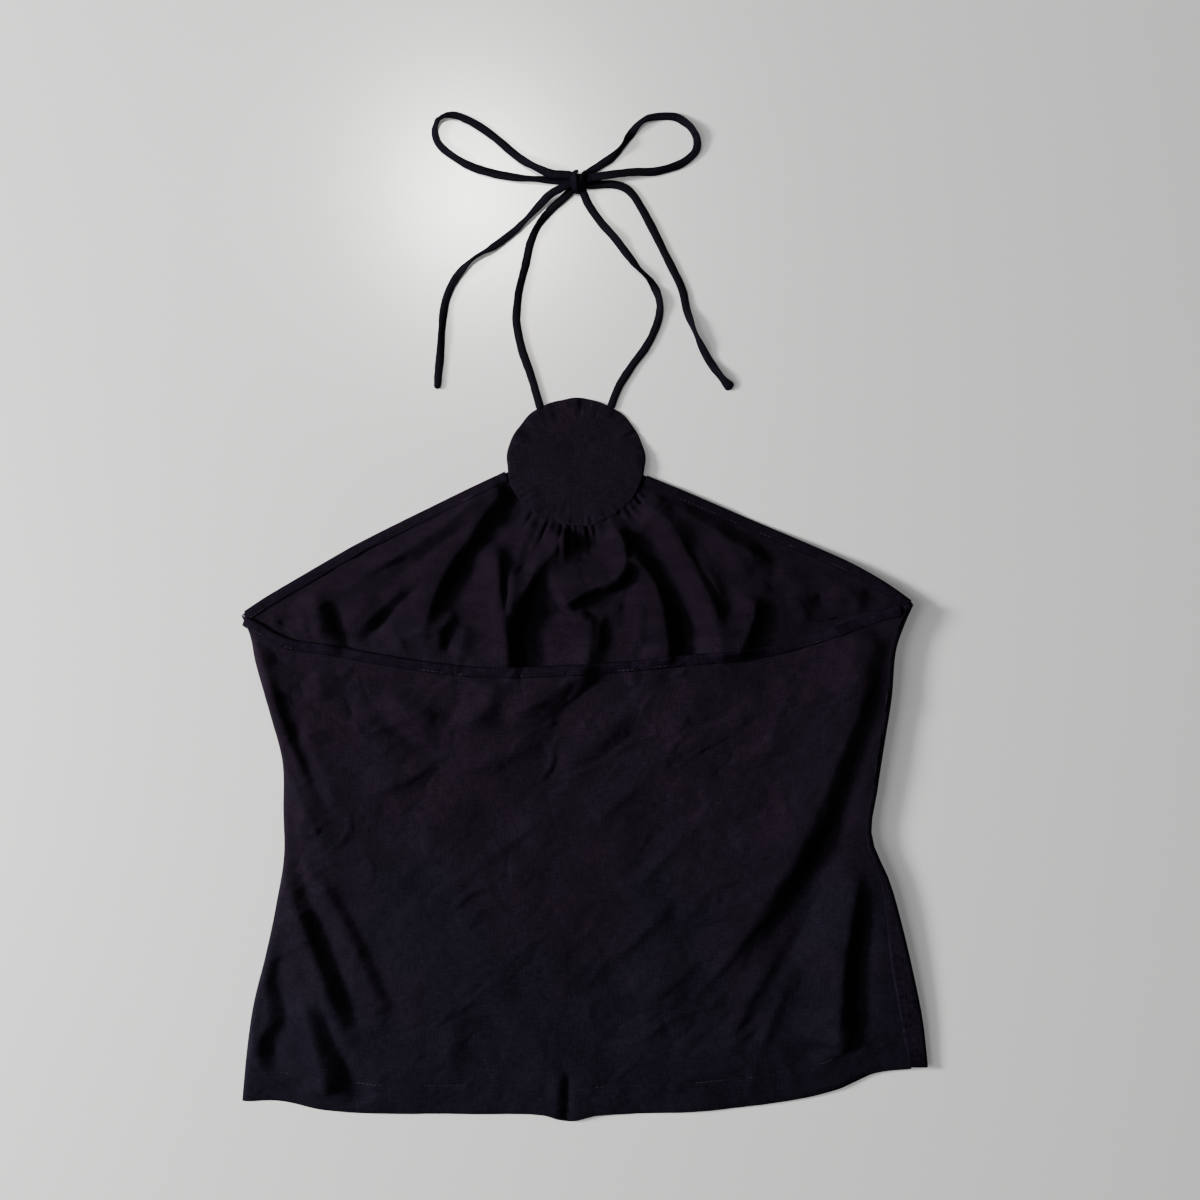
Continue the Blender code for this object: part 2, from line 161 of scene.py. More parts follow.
def foldField(x, y, folds):
    # Height of ridges (positive) and troughs (negative) along bent paths. left and right are the flanks'
    # widths, as seen from above for a path that runs down. fadeIn and fadeOut are shares of the path.
    total = np.zeros_like(x)
    for row in folds:
        fold = dict(zip(foldColumns, row))
        path = smoothPath(fold["path"], 5)
        reach = 3.0 * max(fold["left"], fold["right"])
        near = ((x > path[:, 0].min() - reach) & (x < path[:, 0].max() + reach)
                & (y > path[:, 1].min() - reach) & (y < path[:, 1].max() + reach))
        if not near.any():
            continue
        start, run = path[:-1], np.diff(path, axis=0)
        fromX, fromY = x[near][:, None] - start[:, 0], y[near][:, None] - start[:, 1]
        share = np.clip((fromX * run[:, 0] + fromY * run[:, 1]) / (run ** 2).sum(axis=1), 0.0, 1.0)
        offX, offY = fromX - share * run[:, 0], fromY - share * run[:, 1]
        away = offX ** 2 + offY ** 2
        best = np.argmin(away, axis=1)
        pick = np.arange(len(best)), best
        side = run[best, 0] * offY[pick] - run[best, 1] * offX[pick]
        width = np.where(side > 0.0, fold["right"], fold["left"])
        along = (best + share[pick]) / len(run)
        ends = smoothStep(0.0, fold["fadeIn"], along) * smoothStep(1.0, 1.0 - fold["fadeOut"], along)
        total[near] += fold["height"] * ends * np.exp(-(np.sqrt(away[pick]) / width) ** 1.45)
    return total

sides = {  # rise: 0 at the hem, 1 at the underarm corners
    "columns": ("rise", "leftX", "rightX", "seamInset", "edgeLift", "roll"),
    "rows": (
        (0.00, -204.8, 205.4, 11.4, 0.3, 4.4), (0.10, -201.9, 202.2, 13.6, 0.8, 5.0),
        (0.20, -197.7, 196.5, 12.8, 1.6, 5.6), (0.30, -190.5, 189.9, 10.0, 2.4, 6.0),
        (0.40, -184.5, 182.1, 5.6, 3.2, 6.0), (0.50, -179.7, 171.0, 3.4, 3.6, 6.2),
        (0.60, -180.0, 174.3, 3.4, 3.6, 6.4), (0.70, -180.6, 178.5, 3.5, 3.6, 6.6),
        (0.80, -188.1, 182.7, 3.7, 4.0, 6.8), (0.90, -196.5, 185.1, 3.8, 4.2, 7.0),
        (0.96, -200.1, 190.6, 3.8, 4.4, 7.0), (1.00, -205.2, 195.6, 3.8, 4.6, 7.0),
    ),
}
corners = {"hemLeftY": -204.9, "leftY": 86.1, "hemRightY": -185.0, "rightY": 92.7}
armholes = {  # rise: 0 at the corners, 1 at the gathered edge
    "columns": ("rise", "leftX", "leftY", "rightX", "rightY", "bow"),
    "rows": (
        (0.00, -205.2, 86.1, 195.6, 92.7, 20.0), (0.08, -192.0, 95.0, 183.5, 101.6, 22.0),
        (0.22, -168.0, 109.0, 160.0, 115.6, 25.0), (0.40, -137.0, 127.0, 128.0, 130.0, 28.0),
        (0.60, -104.0, 143.7, 92.0, 145.4, 31.5), (0.80, -70.0, 160.3, 58.0, 160.0, 33.0),
        (0.93, -46.5, 171.4, 36.3, 168.9, 33.0), (1.00, -40.0, 174.4, 30.0, 171.9, 27.5),
    ),
}
neckline = {
    "columns": ("along", "drop"),
    "rows": (
        (0.00, 0.0), (0.03, 6.6), (0.07, 15.2), (0.12, 18.7), (0.20, 24.9), (0.28, 30.6), (0.37, 34.6),
        (0.54, 33.1), (0.65, 29.6), (0.75, 26.4), (0.82, 21.2), (0.89, 12.8), (0.96, 3.3), (1.00, 0.0),
    ),
}
hem = {
    "columns": ("along", "drop"),
    "rows": (
        (0.00, 0.0), (0.06, 1.0), (0.14, 8.4), (0.24, 12.0), (0.35, 14.5), (0.45, 17.0), (0.49, 21.5),
        (0.53, 19.0), (0.67, 19.3), (0.80, 15.8), (0.88, 10.5), (0.94, 1.6), (1.00, 0.0),
    ),
}
disc = {"middle": (-5.1, 177.6), "radii": (41.4, 38.6), "wall": 2.3, "rimWall": 0.5, "lift": 2.2}


def sideY(rise, along):
    left = between(corners["hemLeftY"], corners["leftY"], rise)
    right = between(corners["hemRightY"], corners["rightY"], rise)
    return between(left, right, along)


def necklineY(x):
    along = np.clip((x - sides["rows"][-1][1]) / (sides["rows"][-1][2] - sides["rows"][-1][1]), 0.0, 1.0)
    return sideY(1.0, along) - readTable(neckline, "drop", along)


def discShare(x, y):  # distance from the disc's middle, 1 at its rim
    return np.hypot((x - disc["middle"][0]) / disc["radii"][0], (y - disc["middle"][1]) / disc["radii"][1])


def newPiece(name, shape, materials=()):
    mesh = bpy.data.meshes.new(name)
    shape.to_mesh(mesh)
    shape.free()
    for material in materials:
        mesh.materials.append(material)
    piece = bpy.data.objects.new(name, mesh)
    bpy.context.scene.collection.objects.link(piece)
    return piece


def movePoints(piece, place):  # every point of a grid goes to place(across, up), both from 0 to 1
    mesh = piece.data
    spots = np.empty(len(mesh.vertices) * 3)
    mesh.vertices.foreach_get("co", spots)
    spots = spots.reshape(-1, 3)
    points = np.stack(place(spots[:, 0] + 0.5, spots[:, 1] + 0.5), axis=1) * mm
    mesh.vertices.foreach_set("co", points.ravel())
    mesh.shade_smooth()
    mesh.update()


def gridShape(columns, rows):
    shape = bmesh.new()
    shape.loops.layers.uv.new("cloth")
    bmesh.ops.create_grid(shape, x_segments=columns, y_segments=rows, size=0.5, calc_uvs=True)
    return shape


def fitPiece(piece, slot, *nodes):  # every piece is on the one body, and most stand for a solid
    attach(piece, "root")
    if nodes:
        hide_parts(*nodes)
    return piece


def giveWall(piece, wall, offset):
    solid = piece.modifiers.new("wall", "SOLIDIFY")
    solid.thickness = wall * mm
    solid.offset = offset
    return solid


def addNode(tree, kind, inputs=None, **settings):  # inputs: values, or sockets to link from
    node = tree.nodes.new(kind)
    for name, value in settings.items():
        setattr(node, name, value)
    for name, value in (inputs or {}).items():
        if isinstance(value, bpy.types.NodeSocket):
            tree.links.new(value, node.inputs[name])
        else:
            node.inputs[name].default_value = value
    return node


def mathNode(tree, operation, first, second=0.0, third=0.0):
    return addNode(tree, "ShaderNodeMath", {0: first, 1: second, 2: third}, operation=operation).outputs[0]


def newGroup(name, inputs, outputs):
    group = bpy.data.node_groups.new(name, "ShaderNodeTree")
    for label, kind in inputs:
        group.interface.new_socket(label, in_out="INPUT", socket_type=kind)
    for label, kind in outputs:
        group.interface.new_socket(label, in_out="OUTPUT", socket_type=kind)
    return group, group.nodes.new("NodeGroupInput"), group.nodes.new("NodeGroupOutput")


def makeWeaveGroup():  # crossing threads, uneven slubs and a soft mottle, from a place in mm
    floatSocket, vectorSocket = "NodeSocketFloat", "NodeSocketVector"
    group, given, result = newGroup(
        "weave", (("Place", vectorSocket), ("Pitch", floatSocket)),
        (("Height", floatSocket), ("Grain", floatSocket), ("Mottle", floatSocket), ("DriftAndPaintedTint", floatSocket)))
    place, pitch = given.outputs["Place"], given.outputs["Pitch"]
    parts = addNode(group, "ShaderNodeSeparateXYZ", {"Vector": place})
    waves = []
    for axis in ("X", "Y"):
        turns = mathNode(group, "DIVIDE", parts.outputs[axis], pitch)
        waves.append(mathNode(group, "SINE", mathNode(group, "MULTIPLY", turns, 2.0 * math.pi)))
    crossed = mathNode(group, "MULTIPLY", waves[0], waves[1])
    slubs = []
    for stretch in ((0.14, 1.25, 1.0), (1.25, 0.14, 1.0)):
        drawn = addNode(group, "ShaderNodeMapping", {"Vector": place, "Scale": stretch})
        slubs.append(addNode(group, "ShaderNodeTexNoise", {"Vector": drawn.outputs[0], "Scale": 1.0,
                                                           "Detail": 2.0, "Roughness": 0.6}).outputs["Fac"])
    slub = mathNode(group, "MULTIPLY", mathNode(group, "ADD", slubs[0], slubs[1]), 0.5)
    mottle = addNode(group, "ShaderNodeTexNoise", {"Vector": place, "Scale": 0.035, "Detail": 4.0,
                                                   "Roughness": 0.62})
    drift = addNode(group, "ShaderNodeTexNoise", {"Vector": place, "Scale": 0.011, "Detail": 2.0})
    # a rise towards the top: painted warm light on the upper cloth and painted bluish shade towards the hem
    up = mathNode(group, "MULTIPLY_ADD", parts.outputs["Y"], 0.0019, -0.28)
    grain = addNode(group, "ShaderNodeTexNoise", {"Vector": place, "Scale": 1.25, "Detail": 2.0,
                                                  "Roughness": 0.7})
    fine = mathNode(group, "MULTIPLY_ADD", grain.outputs["Fac"], 0.6,
                    mathNode(group, "MULTIPLY", slub, 0.7))
    height = mathNode(group, "MULTIPLY_ADD", crossed, 0.16, fine)
    group.links.new(height, result.inputs["Height"])
    group.links.new(fine, result.inputs["Grain"])
    group.links.new(mottle.outputs["Fac"], result.inputs["Mottle"])
    group.links.new(mathNode(group, "ADD", drift.outputs["Fac"], up), result.inputs["DriftAndPaintedTint"])
    return group


def makeLintGroup():  # scattered specks of fluff, 1 where a speck lies
    floatSocket, vectorSocket = "NodeSocketFloat", "NodeSocketVector"
    group, given, result = newGroup(
        "lint", (("Place", vectorSocket), ("Spacing", floatSocket), ("Size", floatSocket)),
        (("Mask", floatSocket),))
    cells = mathNode(group, "DIVIDE", 1.0, given.outputs["Spacing"])
    specks = addNode(group, "ShaderNodeTexVoronoi", {"Vector": given.outputs["Place"], "Scale": cells})
    chosen = addNode(group, "ShaderNodeSeparateColor", {"Color": specks.outputs["Color"]})
    near = mathNode(group, "MULTIPLY", specks.outputs["Distance"], given.outputs["Spacing"])
    reach = mathNode(group, "MULTIPLY", given.outputs["Size"], chosen.outputs["Green"])
    inside = mathNode(group, "LESS_THAN", near, reach)
    kept = mathNode(group, "GREATER_THAN", chosen.outputs["Red"], 0.45)
    group.links.new(mathNode(group, "MULTIPLY", inside, kept), result.inputs["Mask"])
    return group


weaveGroup, lintGroup = makeWeaveGroup(), makeLintGroup()

cloths = {  # deep: the dyed colour. The two paler tones: where it has rubbed paler at random; they drift warm towards the top and cool towards the hem, and that drift is painted light, a warm lit tint above and a bluish painted shade below
    "cotton": {"deep": (0.0018, 0.0011, 0.0040), "rubbedAndWarmLit": (0.0158, 0.0098, 0.0178),
               "rubbedAndCoolShade": (0.0118, 0.0102, 0.0180), "rough": (0.60, 0.75), "specular": 0.02,
               "pitch": 0.46, "weaveDepth": 0.45},
    "binding": {"deep": (0.0014, 0.0006, 0.0034), "rubbedAndWarmLit": (0.0104, 0.0056, 0.0126),
                "rubbedAndCoolShade": (0.0066, 0.0042, 0.0120), "rough": (0.60, 0.75), "specular": 0.02,
                "pitch": 0.46, "weaveDepth": 0.34},
    "rouleau": {"deep": (0.0010, 0.0005, 0.0028), "rubbedAndWarmLit": (0.0046, 0.0026, 0.0076),
                "rubbedAndCoolShade": (0.0030, 0.0020, 0.0072), "rough": (0.50, 0.65), "specular": 0.03,
                "pitch": 0.46, "weaveDepth": 0.30},
}
lint = {"spacing": 26.0, "size": 0.55, "colour": (0.16, 0.15, 0.17)}


# litWarmth moves a piece's paler tone towards its warm painted-light tint
def blackCloth(name, kind, cut, litWarmth=0.0):
    look = cloths[kind]
    material = bpy.data.materials.new(name)
    material.use_nodes = True
    tree = material.node_tree
    shader = tree.nodes["Principled BSDF"]
    threads = addNode(tree, "ShaderNodeUVMap", uv_map="cloth")
    place = addNode(tree, "ShaderNodeMapping", {"Vector": threads.outputs[0], "Scale": (*cut, 1.0)})
    weave = addNode(tree, "ShaderNodeGroup", node_tree=weaveGroup)
    tree.links.new(place.outputs[0], weave.inputs["Place"])
    weave.inputs["Pitch"].default_value = look["pitch"]
    specks = addNode(tree, "ShaderNodeGroup", node_tree=lintGroup)
    tree.links.new(place.outputs[0], specks.inputs["Place"])
    specks.inputs["Spacing"].default_value = lint["spacing"]
    specks.inputs["Size"].default_value = lint["size"]

    wear = addNode(tree, "ShaderNodeMapRange", {"Value": weave.outputs["Mottle"], "From Min": 0.34,
                                                "From Max": 0.66, "To Min": 0.34, "To Max": 0.60})
    rubbed = addNode(tree, "ShaderNodeMapRange", {"Value": weave.outputs["Grain"], "From Min": 0.52,
                                                  "From Max": 0.78, "To Min": -0.36, "To Max": 0.42})
    share = mathNode(tree, "ADD", wear.outputs["Result"], rubbed.outputs["Result"])
    # hue: random drift plus the painted light tint, warm towards the top and cool painted shade towards the
    # hem
    hue = addNode(tree, "ShaderNodeMapRange", {"Value": weave.outputs["DriftAndPaintedTint"], "From Min": 0.30 - litWarmth,
                                               "From Max": 0.66 - litWarmth})
    paler = addNode(tree, "ShaderNodeMix", {"Factor": hue.outputs["Result"]}, data_type="RGBA")
    colourIn(paler, "A").default_value = (*look["rubbedAndCoolShade"], 1.0)
    colourIn(paler, "B").default_value = (*look["rubbedAndWarmLit"], 1.0)
    dyed = addNode(tree, "ShaderNodeMix", {"Factor": share}, data_type="RGBA")
    colourIn(dyed, "A").default_value = (*look["deep"], 1.0)
    tree.links.new(colourOut(paler), colourIn(dyed, "B"))
    fluff = addNode(tree, "ShaderNodeMix", {"Factor": specks.outputs["Mask"]}, data_type="RGBA")
    colourIn(fluff, "B").default_value = (*lint["colour"], 1.0)
    tree.links.new(colourOut(dyed), colourIn(fluff, "A"))
    tree.links.new(colourOut(fluff), shader.inputs["Base Color"])
    rough = addNode(tree, "ShaderNodeMapRange", {"Value": weave.outputs["Mottle"], "From Min": 0.3,
                                                 "From Max": 0.7, "To Min": look["rough"][0],
                                                 "To Max": look["rough"][1]})
    tree.links.new(rough.outputs["Result"], shader.inputs["Roughness"])
    bump = addNode(tree, "ShaderNodeBump", {"Height": weave.outputs["Height"], "Strength": 0.9,
                                            "Distance": look["weaveDepth"] * mm})
    tree.links.new(bump.outputs["Normal"], shader.inputs["Normal"])
    shader.inputs["Specular IOR Level"].default_value = look["specular"]
    return material


def colourOut(mix):
    return next(socket for socket in mix.outputs if socket.type == "RGBA")


def colourIn(mix, name):
    return next(socket for socket in mix.inputs if socket.type == "RGBA" and socket.name == name)


def threadMaterial(name, colour, paler):
    material = bpy.data.materials.new(name)
    material.use_nodes = True
    tree = material.node_tree
    shader = tree.nodes["Principled BSDF"]
    spot = addNode(tree, "ShaderNodeTexCoord")
    patches = addNode(tree, "ShaderNodeTexNoise", {"Vector": spot.outputs["Object"], "Scale": 90.0,
                                                   "Detail": 3.0})
    linty = addNode(tree, "ShaderNodeMapRange", {"Value": patches.outputs["Fac"], "From Min": 0.55,
                                                 "From Max": 0.62})
    tone = addNode(tree, "ShaderNodeMix", {"Factor": linty.outputs["Result"]}, data_type="RGBA")
    colourIn(tone, "A").default_value = (*colour, 1.0)
    colourIn(tone, "B").default_value = (*paler, 1.0)
    tree.links.new(colourOut(tone), shader.inputs["Base Color"])
    fibres = addNode(tree, "ShaderNodeTexNoise", {"Vector": spot.outputs["Object"], "Scale": 6000.0})
    bump = addNode(tree, "ShaderNodeBump", {"Height": fibres.outputs["Fac"], "Strength": 0.5,
                                            "Distance": 0.05 * mm})
    tree.links.new(bump.outputs["Normal"], shader.inputs["Normal"])
    shader.inputs["Roughness"].default_value = 0.62
    shader.inputs["Specular IOR Level"].default_value = 0.06
    return material

frontSetup = {"wall": 0.7, "lift": 3.8, "flatShare": 0.93, "bodyShare": 0.28, "rollShare": 0.7,
              "columns": 330, "rows": 146, "neckFade": 26.0, "liftReach": 45.0, "cut": (438.0, 440.0)}

frontFolds = (  # the columns are foldColumns: path, height, left and right flanks, ends that fade
    (((14.7, 141.6), (22.7, 130.1), (24.0, 117.8), (19.1, 108.1), (5.9, 102.0), (-8.1, 94.9),
      (-14.7, 90.5)), 8.4, 10.3, 5.9, 0.12, 0.14),
    (((27.5, 122.0), (26.5, 110.0), (20.9, 102.0), (6.0, 96.8), (-6.4, 93.2)), -3.6, 4.6, 4.6, 0.3, 0.2),
    (((3.5, 88.6), (-2.9, 84.8), (-10.8, 84.8), (-15.2, 89.7)), 3.5, 3.4, 6.3, 0.3, 0.3),
    (((4.6, 88.8), (3.7, 79.1), (2.9, 68.5), (1.5, 57.1), (0.5, 46.0)), 5.4, 10.3, 6.8, 0.2, 0.3),
    (((25.3, 124.9), (32.3, 117.8), (41.1, 105.5), (46.4, 89.7), (48.6, 74.7), (49.5, 61.5),
      (50.0, 48.0)), 9.0, 16.1, 9.1, 0.2, 0.25),
    (((28.8, 119.6), (29.3, 110.8), (25.3, 98.5), (24.0, 87.9), (21.3, 74.7)), -1.7, 3.0, 3.0, 0.3, 0.3),
    (((20.0, 72.9), (17.0, 71.8), (13.9, 69.4)), -0.6, 1.5, 1.5, 0.4, 0.4),
    (((29.7, 66.8), (33.5, 65.6), (37.6, 62.4)), -1.4, 3.6, 3.6, 0.4, 0.4),
    (((24.0, 137.0), (34.0, 127.0), (45.0, 112.0), (55.0, 94.0), (60.0, 80.0), (60.0, 62.0),
      (60.0, 48.0)), -5.4, 11.5, 11.5, 0.35, 0.2),
    (((33.0, 154.0), (48.0, 143.0), (60.0, 124.0), (70.5, 103.0), (78.0, 85.0), (82.0, 62.0),
      (83.0, 50.0)), 8.4, 11.5, 10.2, 0.1, 0.25),
    (((55.4, 138.9), (68.2, 115.9), (81.0, 95.4), (87.4, 74.9)), -3.6, 8.1, 8.1, 0.25, 0.25),
    (((84.8, 106.9), (97.6, 95.4), (100.8, 87.7), (97.6, 77.5), (92.5, 66.0), (90.0, 56.0)),
     5.8, 9.2, 6.8, 0.3, 0.25),
    (((104.0, 92.9), (106.6, 82.6), (100.2, 68.5)), -1.5, 4.8, 4.8, 0.3, 0.3),
    (((97.6, 133.8), (110.4, 119.7), (120.7, 108.2)), -1.7, 5.0, 5.0, 0.35, 0.4),
    (((91.2, 131.3), (104.0, 115.9), (111.7, 106.9)), 1.4, 7.2, 6.5, 0.3, 0.35),
    (((106.6, 103.1), (116.0, 101.5), (127.1, 98.0)), -1.4, 4.2, 4.2, 0.35, 0.35),
    (((138.6, 100.5), (141.5, 95.0), (142.4, 89.0)), -1.7, 3.6, 3.6, 0.35, 0.35),
    (((153.9, 95.4), (158.0, 92.0), (160.3, 87.7)), -0.9, 2.5, 2.5, 0.35, 0.35),
    (((143.7, 112.1), (149.0, 112.4), (155.2, 111.4)), -0.5, 1.3, 1.3, 0.4, 0.4),
    (((144.5, 108.8), (149.5, 109.2), (154.6, 108.0)), -0.4, 1.3, 1.3, 0.4, 0.4),
    (((164.2, 100.5), (172.0, 96.8), (179.5, 91.6)), -2.0, 5.0, 5.0, 0.4, 0.4),
    (((38.7, 160.7), (52.8, 153.0), (60.5, 150.5)), -0.8, 2.0, 2.0, 0.35, 0.35),
    (((-46.0, 164.5), (-58.0, 149.0), (-70.0, 131.0), (-80.0, 117.0), (-89.0, 99.0), (-95.0, 77.0),
      (-97.0, 64.0)), 7.6, 13.8, 9.1, 0.08, 0.25),
    (((-93.0, 110.0), (-108.0, 95.0), (-122.0, 80.0), (-137.0, 65.0)), -3.8, 5.5, 5.5, 0.3, 0.2),
    (((-99.0, 122.0), (-114.0, 116.0), (-132.0, 106.0)), -1.8, 4.0, 4.0, 0.3, 0.35),
    (((-101.0, 110.0), (-121.0, 90.0), (-139.0, 74.0)), 2.5, 9.6, 4.3, 0.3, 0.3),
    (((-44.0, 150.0), (-56.0, 136.0), (-66.0, 120.0), (-77.0, 104.0), (-88.0, 88.0), (-95.0, 74.0)),
     -5.4, 11.5, 11.5, 0.25, 0.3),
    (((-53.9, 131.9), (-51.3, 114.3), (-50.4, 96.7), (-47.7, 82.6), (-46.0, 70.3), (-45.1, 57.1),
      (-45.0, 46.0)), 8.1, 10.3, 6.8, 0.1, 0.25),
    (((-46.0, 114.3), (-46.0, 96.7), (-46.9, 84.4)), -2.1, 2.4, 2.4, 0.3, 0.3),
    (((-41.6, 117.8), (-42.9, 96.7), (-45.5, 82.6)), 4.3, 3.4, 8.4, 0.3, 0.3),
    (((-9.9, 138.1), (-16.9, 125.7), (-27.5, 112.5), (-35.4, 99.3), (-41.6, 83.5), (-43.8, 74.7)),
     7.2, 9.2, 9.1, 0.12, 0.25),
    (((-38.5, 116.0), (-37.0, 113.5), (-35.4, 111.0)), -1.4, 3.6, 3.6, 0.4, 0.4),
    (((-31.9, 131.9), (-38.1, 129.3), (-46.9, 124.0)), -0.9, 3.5, 3.5, 0.35, 0.35),
    (((-12.0, 130.0), (-23.0, 114.0), (-31.0, 98.0), (-34.0, 78.0), (-31.0, 60.0), (-30.0, 46.0)),
     -5.4, 10.5, 10.5, 0.3, 0.15),
    (((-157.0, 103.0), (-149.0, 88.0), (-143.5, 74.0), (-139.0, 60.0)), -4.0, 7.0, 8.0, 0.45, 0.15),
    (((-163.0, 101.6), (-157.1, 84.1), (-158.6, 70.9)), 4.6, 6.9, 8.4, 0.25, 0.25),
    (((-182.0, 96.5), (-174.0, 96.9), (-167.4, 95.7)), -0.8, 1.6, 1.6, 0.35, 0.35),
    (((-184.9, 79.7), (-176.0, 82.8), (-167.4, 83.3)), -2.8, 3.6, 3.6, 0.3, 0.35),
    (((-81.2, 81.1), (-82.0, 71.0), (-81.2, 60.7)), -1.8, 3.6, 3.6, 0.3, 0.3),
    (((-94.4, 73.8), (-90.5, 73.9), (-87.0, 72.4)), -0.7, 1.5, 1.5, 0.4, 0.4),
    (((-73.9, 87.0), (-83.0, 80.5), (-92.9, 73.8)), 1.9, 3.6, 4.3, 0.35, 0.35),
    (((-69.5, 82.6), (-72.0, 71.0), (-75.4, 60.7)), 2.5, 4.8, 5.7, 0.3, 0.3),
    (((-44.0, 167.0), (-42.0, 153.0), (-54.0, 137.0)), -4.6, 9.8, 11.2, 0.2, 0.35),
    (((-58.0, 158.0), (-84.0, 139.0), (-112.0, 121.0), (-146.0, 103.0)), 4.4, 7.5, 6.0, 0.15, 0.35),
    (((-28.0, 142.0), (-36.0, 128.0), (-42.0, 112.0)), 2.4, 5.0, 4.0, 0.2, 0.4),
    (((-22.0, 128.0), (-30.0, 112.0), (-37.0, 96.0)), 1.8, 3.6, 3.0, 0.3, 0.4),
    (((-76.0, 92.0), (-84.0, 78.0), (-88.0, 62.0)), 2.4, 5.0, 4.0, 0.3, 0.3),
    (((-120.0, 84.0), (-112.0, 74.0), (-106.0, 62.0)), 2.0, 5.0, 4.0, 0.3, 0.3),
    (((-176.0, 92.0), (-168.0, 84.0), (-166.0, 74.0)), 2.4, 5.0, 4.0, 0.3, 0.3),
    (((12.0, 92.0), (9.0, 76.0), (8.0, 60.0)), 1.6, 3.6, 3.0, 0.3, 0.3),
    (((36.0, 96.0), (33.0, 80.0), (34.0, 62.0)), 1.8, 4.0, 3.2, 0.3, 0.3),
    (((70.0, 120.0), (80.0, 100.0), (86.0, 82.0)), 1.8, 5.0, 4.0, 0.3, 0.4),
    (((120.0, 100.0), (130.0, 90.0), (132.0, 78.0)), 2.2, 5.0, 4.0, 0.3, 0.3),
    (((150.0, 106.0), (160.0, 97.0), (164.0, 86.0)), 1.8, 5.0, 4.0, 0.3, 0.3),
    (((-62.0, 145.0), (-86.0, 128.0), (-110.0, 110.0), (-132.0, 96.0)), -2.6, 5.0, 7.0, 0.2, 0.35),
    (((-72.0, 132.0), (-92.0, 116.0), (-108.0, 96.0), (-118.0, 76.0)), 2.4, 9.0, 6.6, 0.25, 0.35),
    (((-122.0, 100.0), (-134.0, 88.0), (-148.0, 74.0)), 2.2, 7.0, 5.5, 0.3, 0.35),
    (((48.0, 156.0), (72.0, 140.0), (98.0, 124.0), (128.0, 108.0)), 3.2, 6.0, 7.0, 0.2, 0.4),
    (((74.0, 142.0), (90.0, 122.0), (100.0, 106.0)), 3.4, 8.0, 6.5, 0.25, 0.35),
    (((112.0, 118.0), (128.0, 104.0), (136.0, 86.0)), 1.9, 8.0, 6.6, 0.3, 0.35),
    (((140.0, 112.0), (150.0, 100.0), (152.0, 84.0)), 1.2, 6.0, 5.0, 0.3, 0.35),
)

gatherColumns = ("angle", "reach", "height", "width")
gathers = (  # little pleats that fan out below the disc: angle round it, length, height and width
    (-150.0, 9.0, 0.9, 2.2), (-141.0, 14.0, 1.2, 2.4), (-136.5, 9.0, -0.8, 1.2), (-132.0, 12.0, 1.4, 2.0),
    (-128.3, 16.0, -1.1, 1.3), (-124.6, 18.0, 1.7, 2.2), (-116.0, 22.0, 1.6, 2.0),
    (-113.3, 14.0, -1.2, 1.2), (-110.4, 12.0, 1.3, 1.6), (-104.0, 9.0, 0.9, 1.2), (-101.4, 18.0, -1.3, 1.2),
    (-98.5, 20.0, 1.8, 1.8), (-94.8, 15.0, -1.2, 1.0), (-91.8, 14.0, 1.3, 1.4), (-87.5, 8.0, 0.9, 1.1),
    (-84.2, 16.0, 1.6, 1.8), (-80.9, 15.0, -1.3, 1.2), (-78.0, 8.0, 1.0, 1.3), (-75.2, 11.0, -1.1, 1.1),
    (-71.0, 12.0, 1.4, 2.4), (-60.0, 10.0, 1.4, 3.0), (-48.0, 9.0, 1.3, 1.6), (-44.5, 9.0, -1.1, 1.0),
    (-41.0, 12.0, 1.7, 1.5), (-35.0, 8.0, 1.4, 1.3), (-32.0, 8.0, -1.1, 1.0), (-28.8, 11.0, 1.6, 1.5),
    (-22.0, 7.0, 1.0, 1.4),
)


def gatherFolds():
    folds = []
    for row in gathers:
        gather = dict(zip(gatherColumns, row))
        turn = math.radians(gather["angle"])
        out = np.array([math.cos(turn), math.sin(turn)])
        rim = np.array(disc["middle"]) + out * np.array(disc["radii"]) * 0.95
        lean = np.array([0.16 * math.sin(7.0 * turn), -0.55])
        path = (rim, rim + (out + 0.3 * lean) * gather["reach"] * 0.55,
                rim + (out + lean) * gather["reach"])
        folds.append((path, gather["height"], gather["width"], gather["width"], 0.02, 0.75))
    return tuple(folds)


allFrontFolds = frontFolds + gatherFolds()


def armholeY(x):  # the slanting edges seen as a height over x, which the folds die out towards
    rise = np.linspace(0.0, 1.0, 60)
    edgeX = np.concatenate([readTable(armholes, "leftX", rise), readTable(armholes, "rightX", rise)[::-1]])
    edgeY = np.concatenate([readTable(armholes, "leftY", rise), readTable(armholes, "rightY", rise)[::-1]])
    return np.interp(x, edgeX, edgeY)


def frontHeight(x, y):  # height of the front's lower face over the table, between its flat parts
    neck = necklineY(x)
    shown = smoothStep(neck - frontSetup["neckFade"], neck + 3.0, y)
    belowDisc = between(0.25, 1.0, smoothStep(0.93, 1.12, discShare(x, y)))
    offEdge = smoothStep(-1.0, 11.0, armholeY(x) - y) * 0.9 + 0.1
    folds = foldField(x, y, allFrontFolds) * offEdge
    rest = frontSetup["lift"] * (0.4 + 0.6 * smoothStep(0.0, 25.0, armholeY(x) - y))
    height = (rest + folds * belowDisc + crumple(x, y, 11) * 1.45) * shown
    return 0.5 * (height + np.sqrt(height * height + 0.16))


def rightRise(x, edgeX, lift):
    return lift * smoothStep(edgeX - frontSetup["liftReach"], edgeX, x)


def frontTop(x, y):  # upper face of the front in the yoke
    steps = np.linspace(0.0, 1.0, 60)
    rise = np.interp(y, readTable(armholes, "rightY", steps), steps)
    lift = sides["rows"][-1][4] * smoothStep(0.5, 0.0, rise)
    return frontHeight(x, y) + rightRise(x, readTable(armholes, "rightX", rise), lift) + frontSetup["wall"]


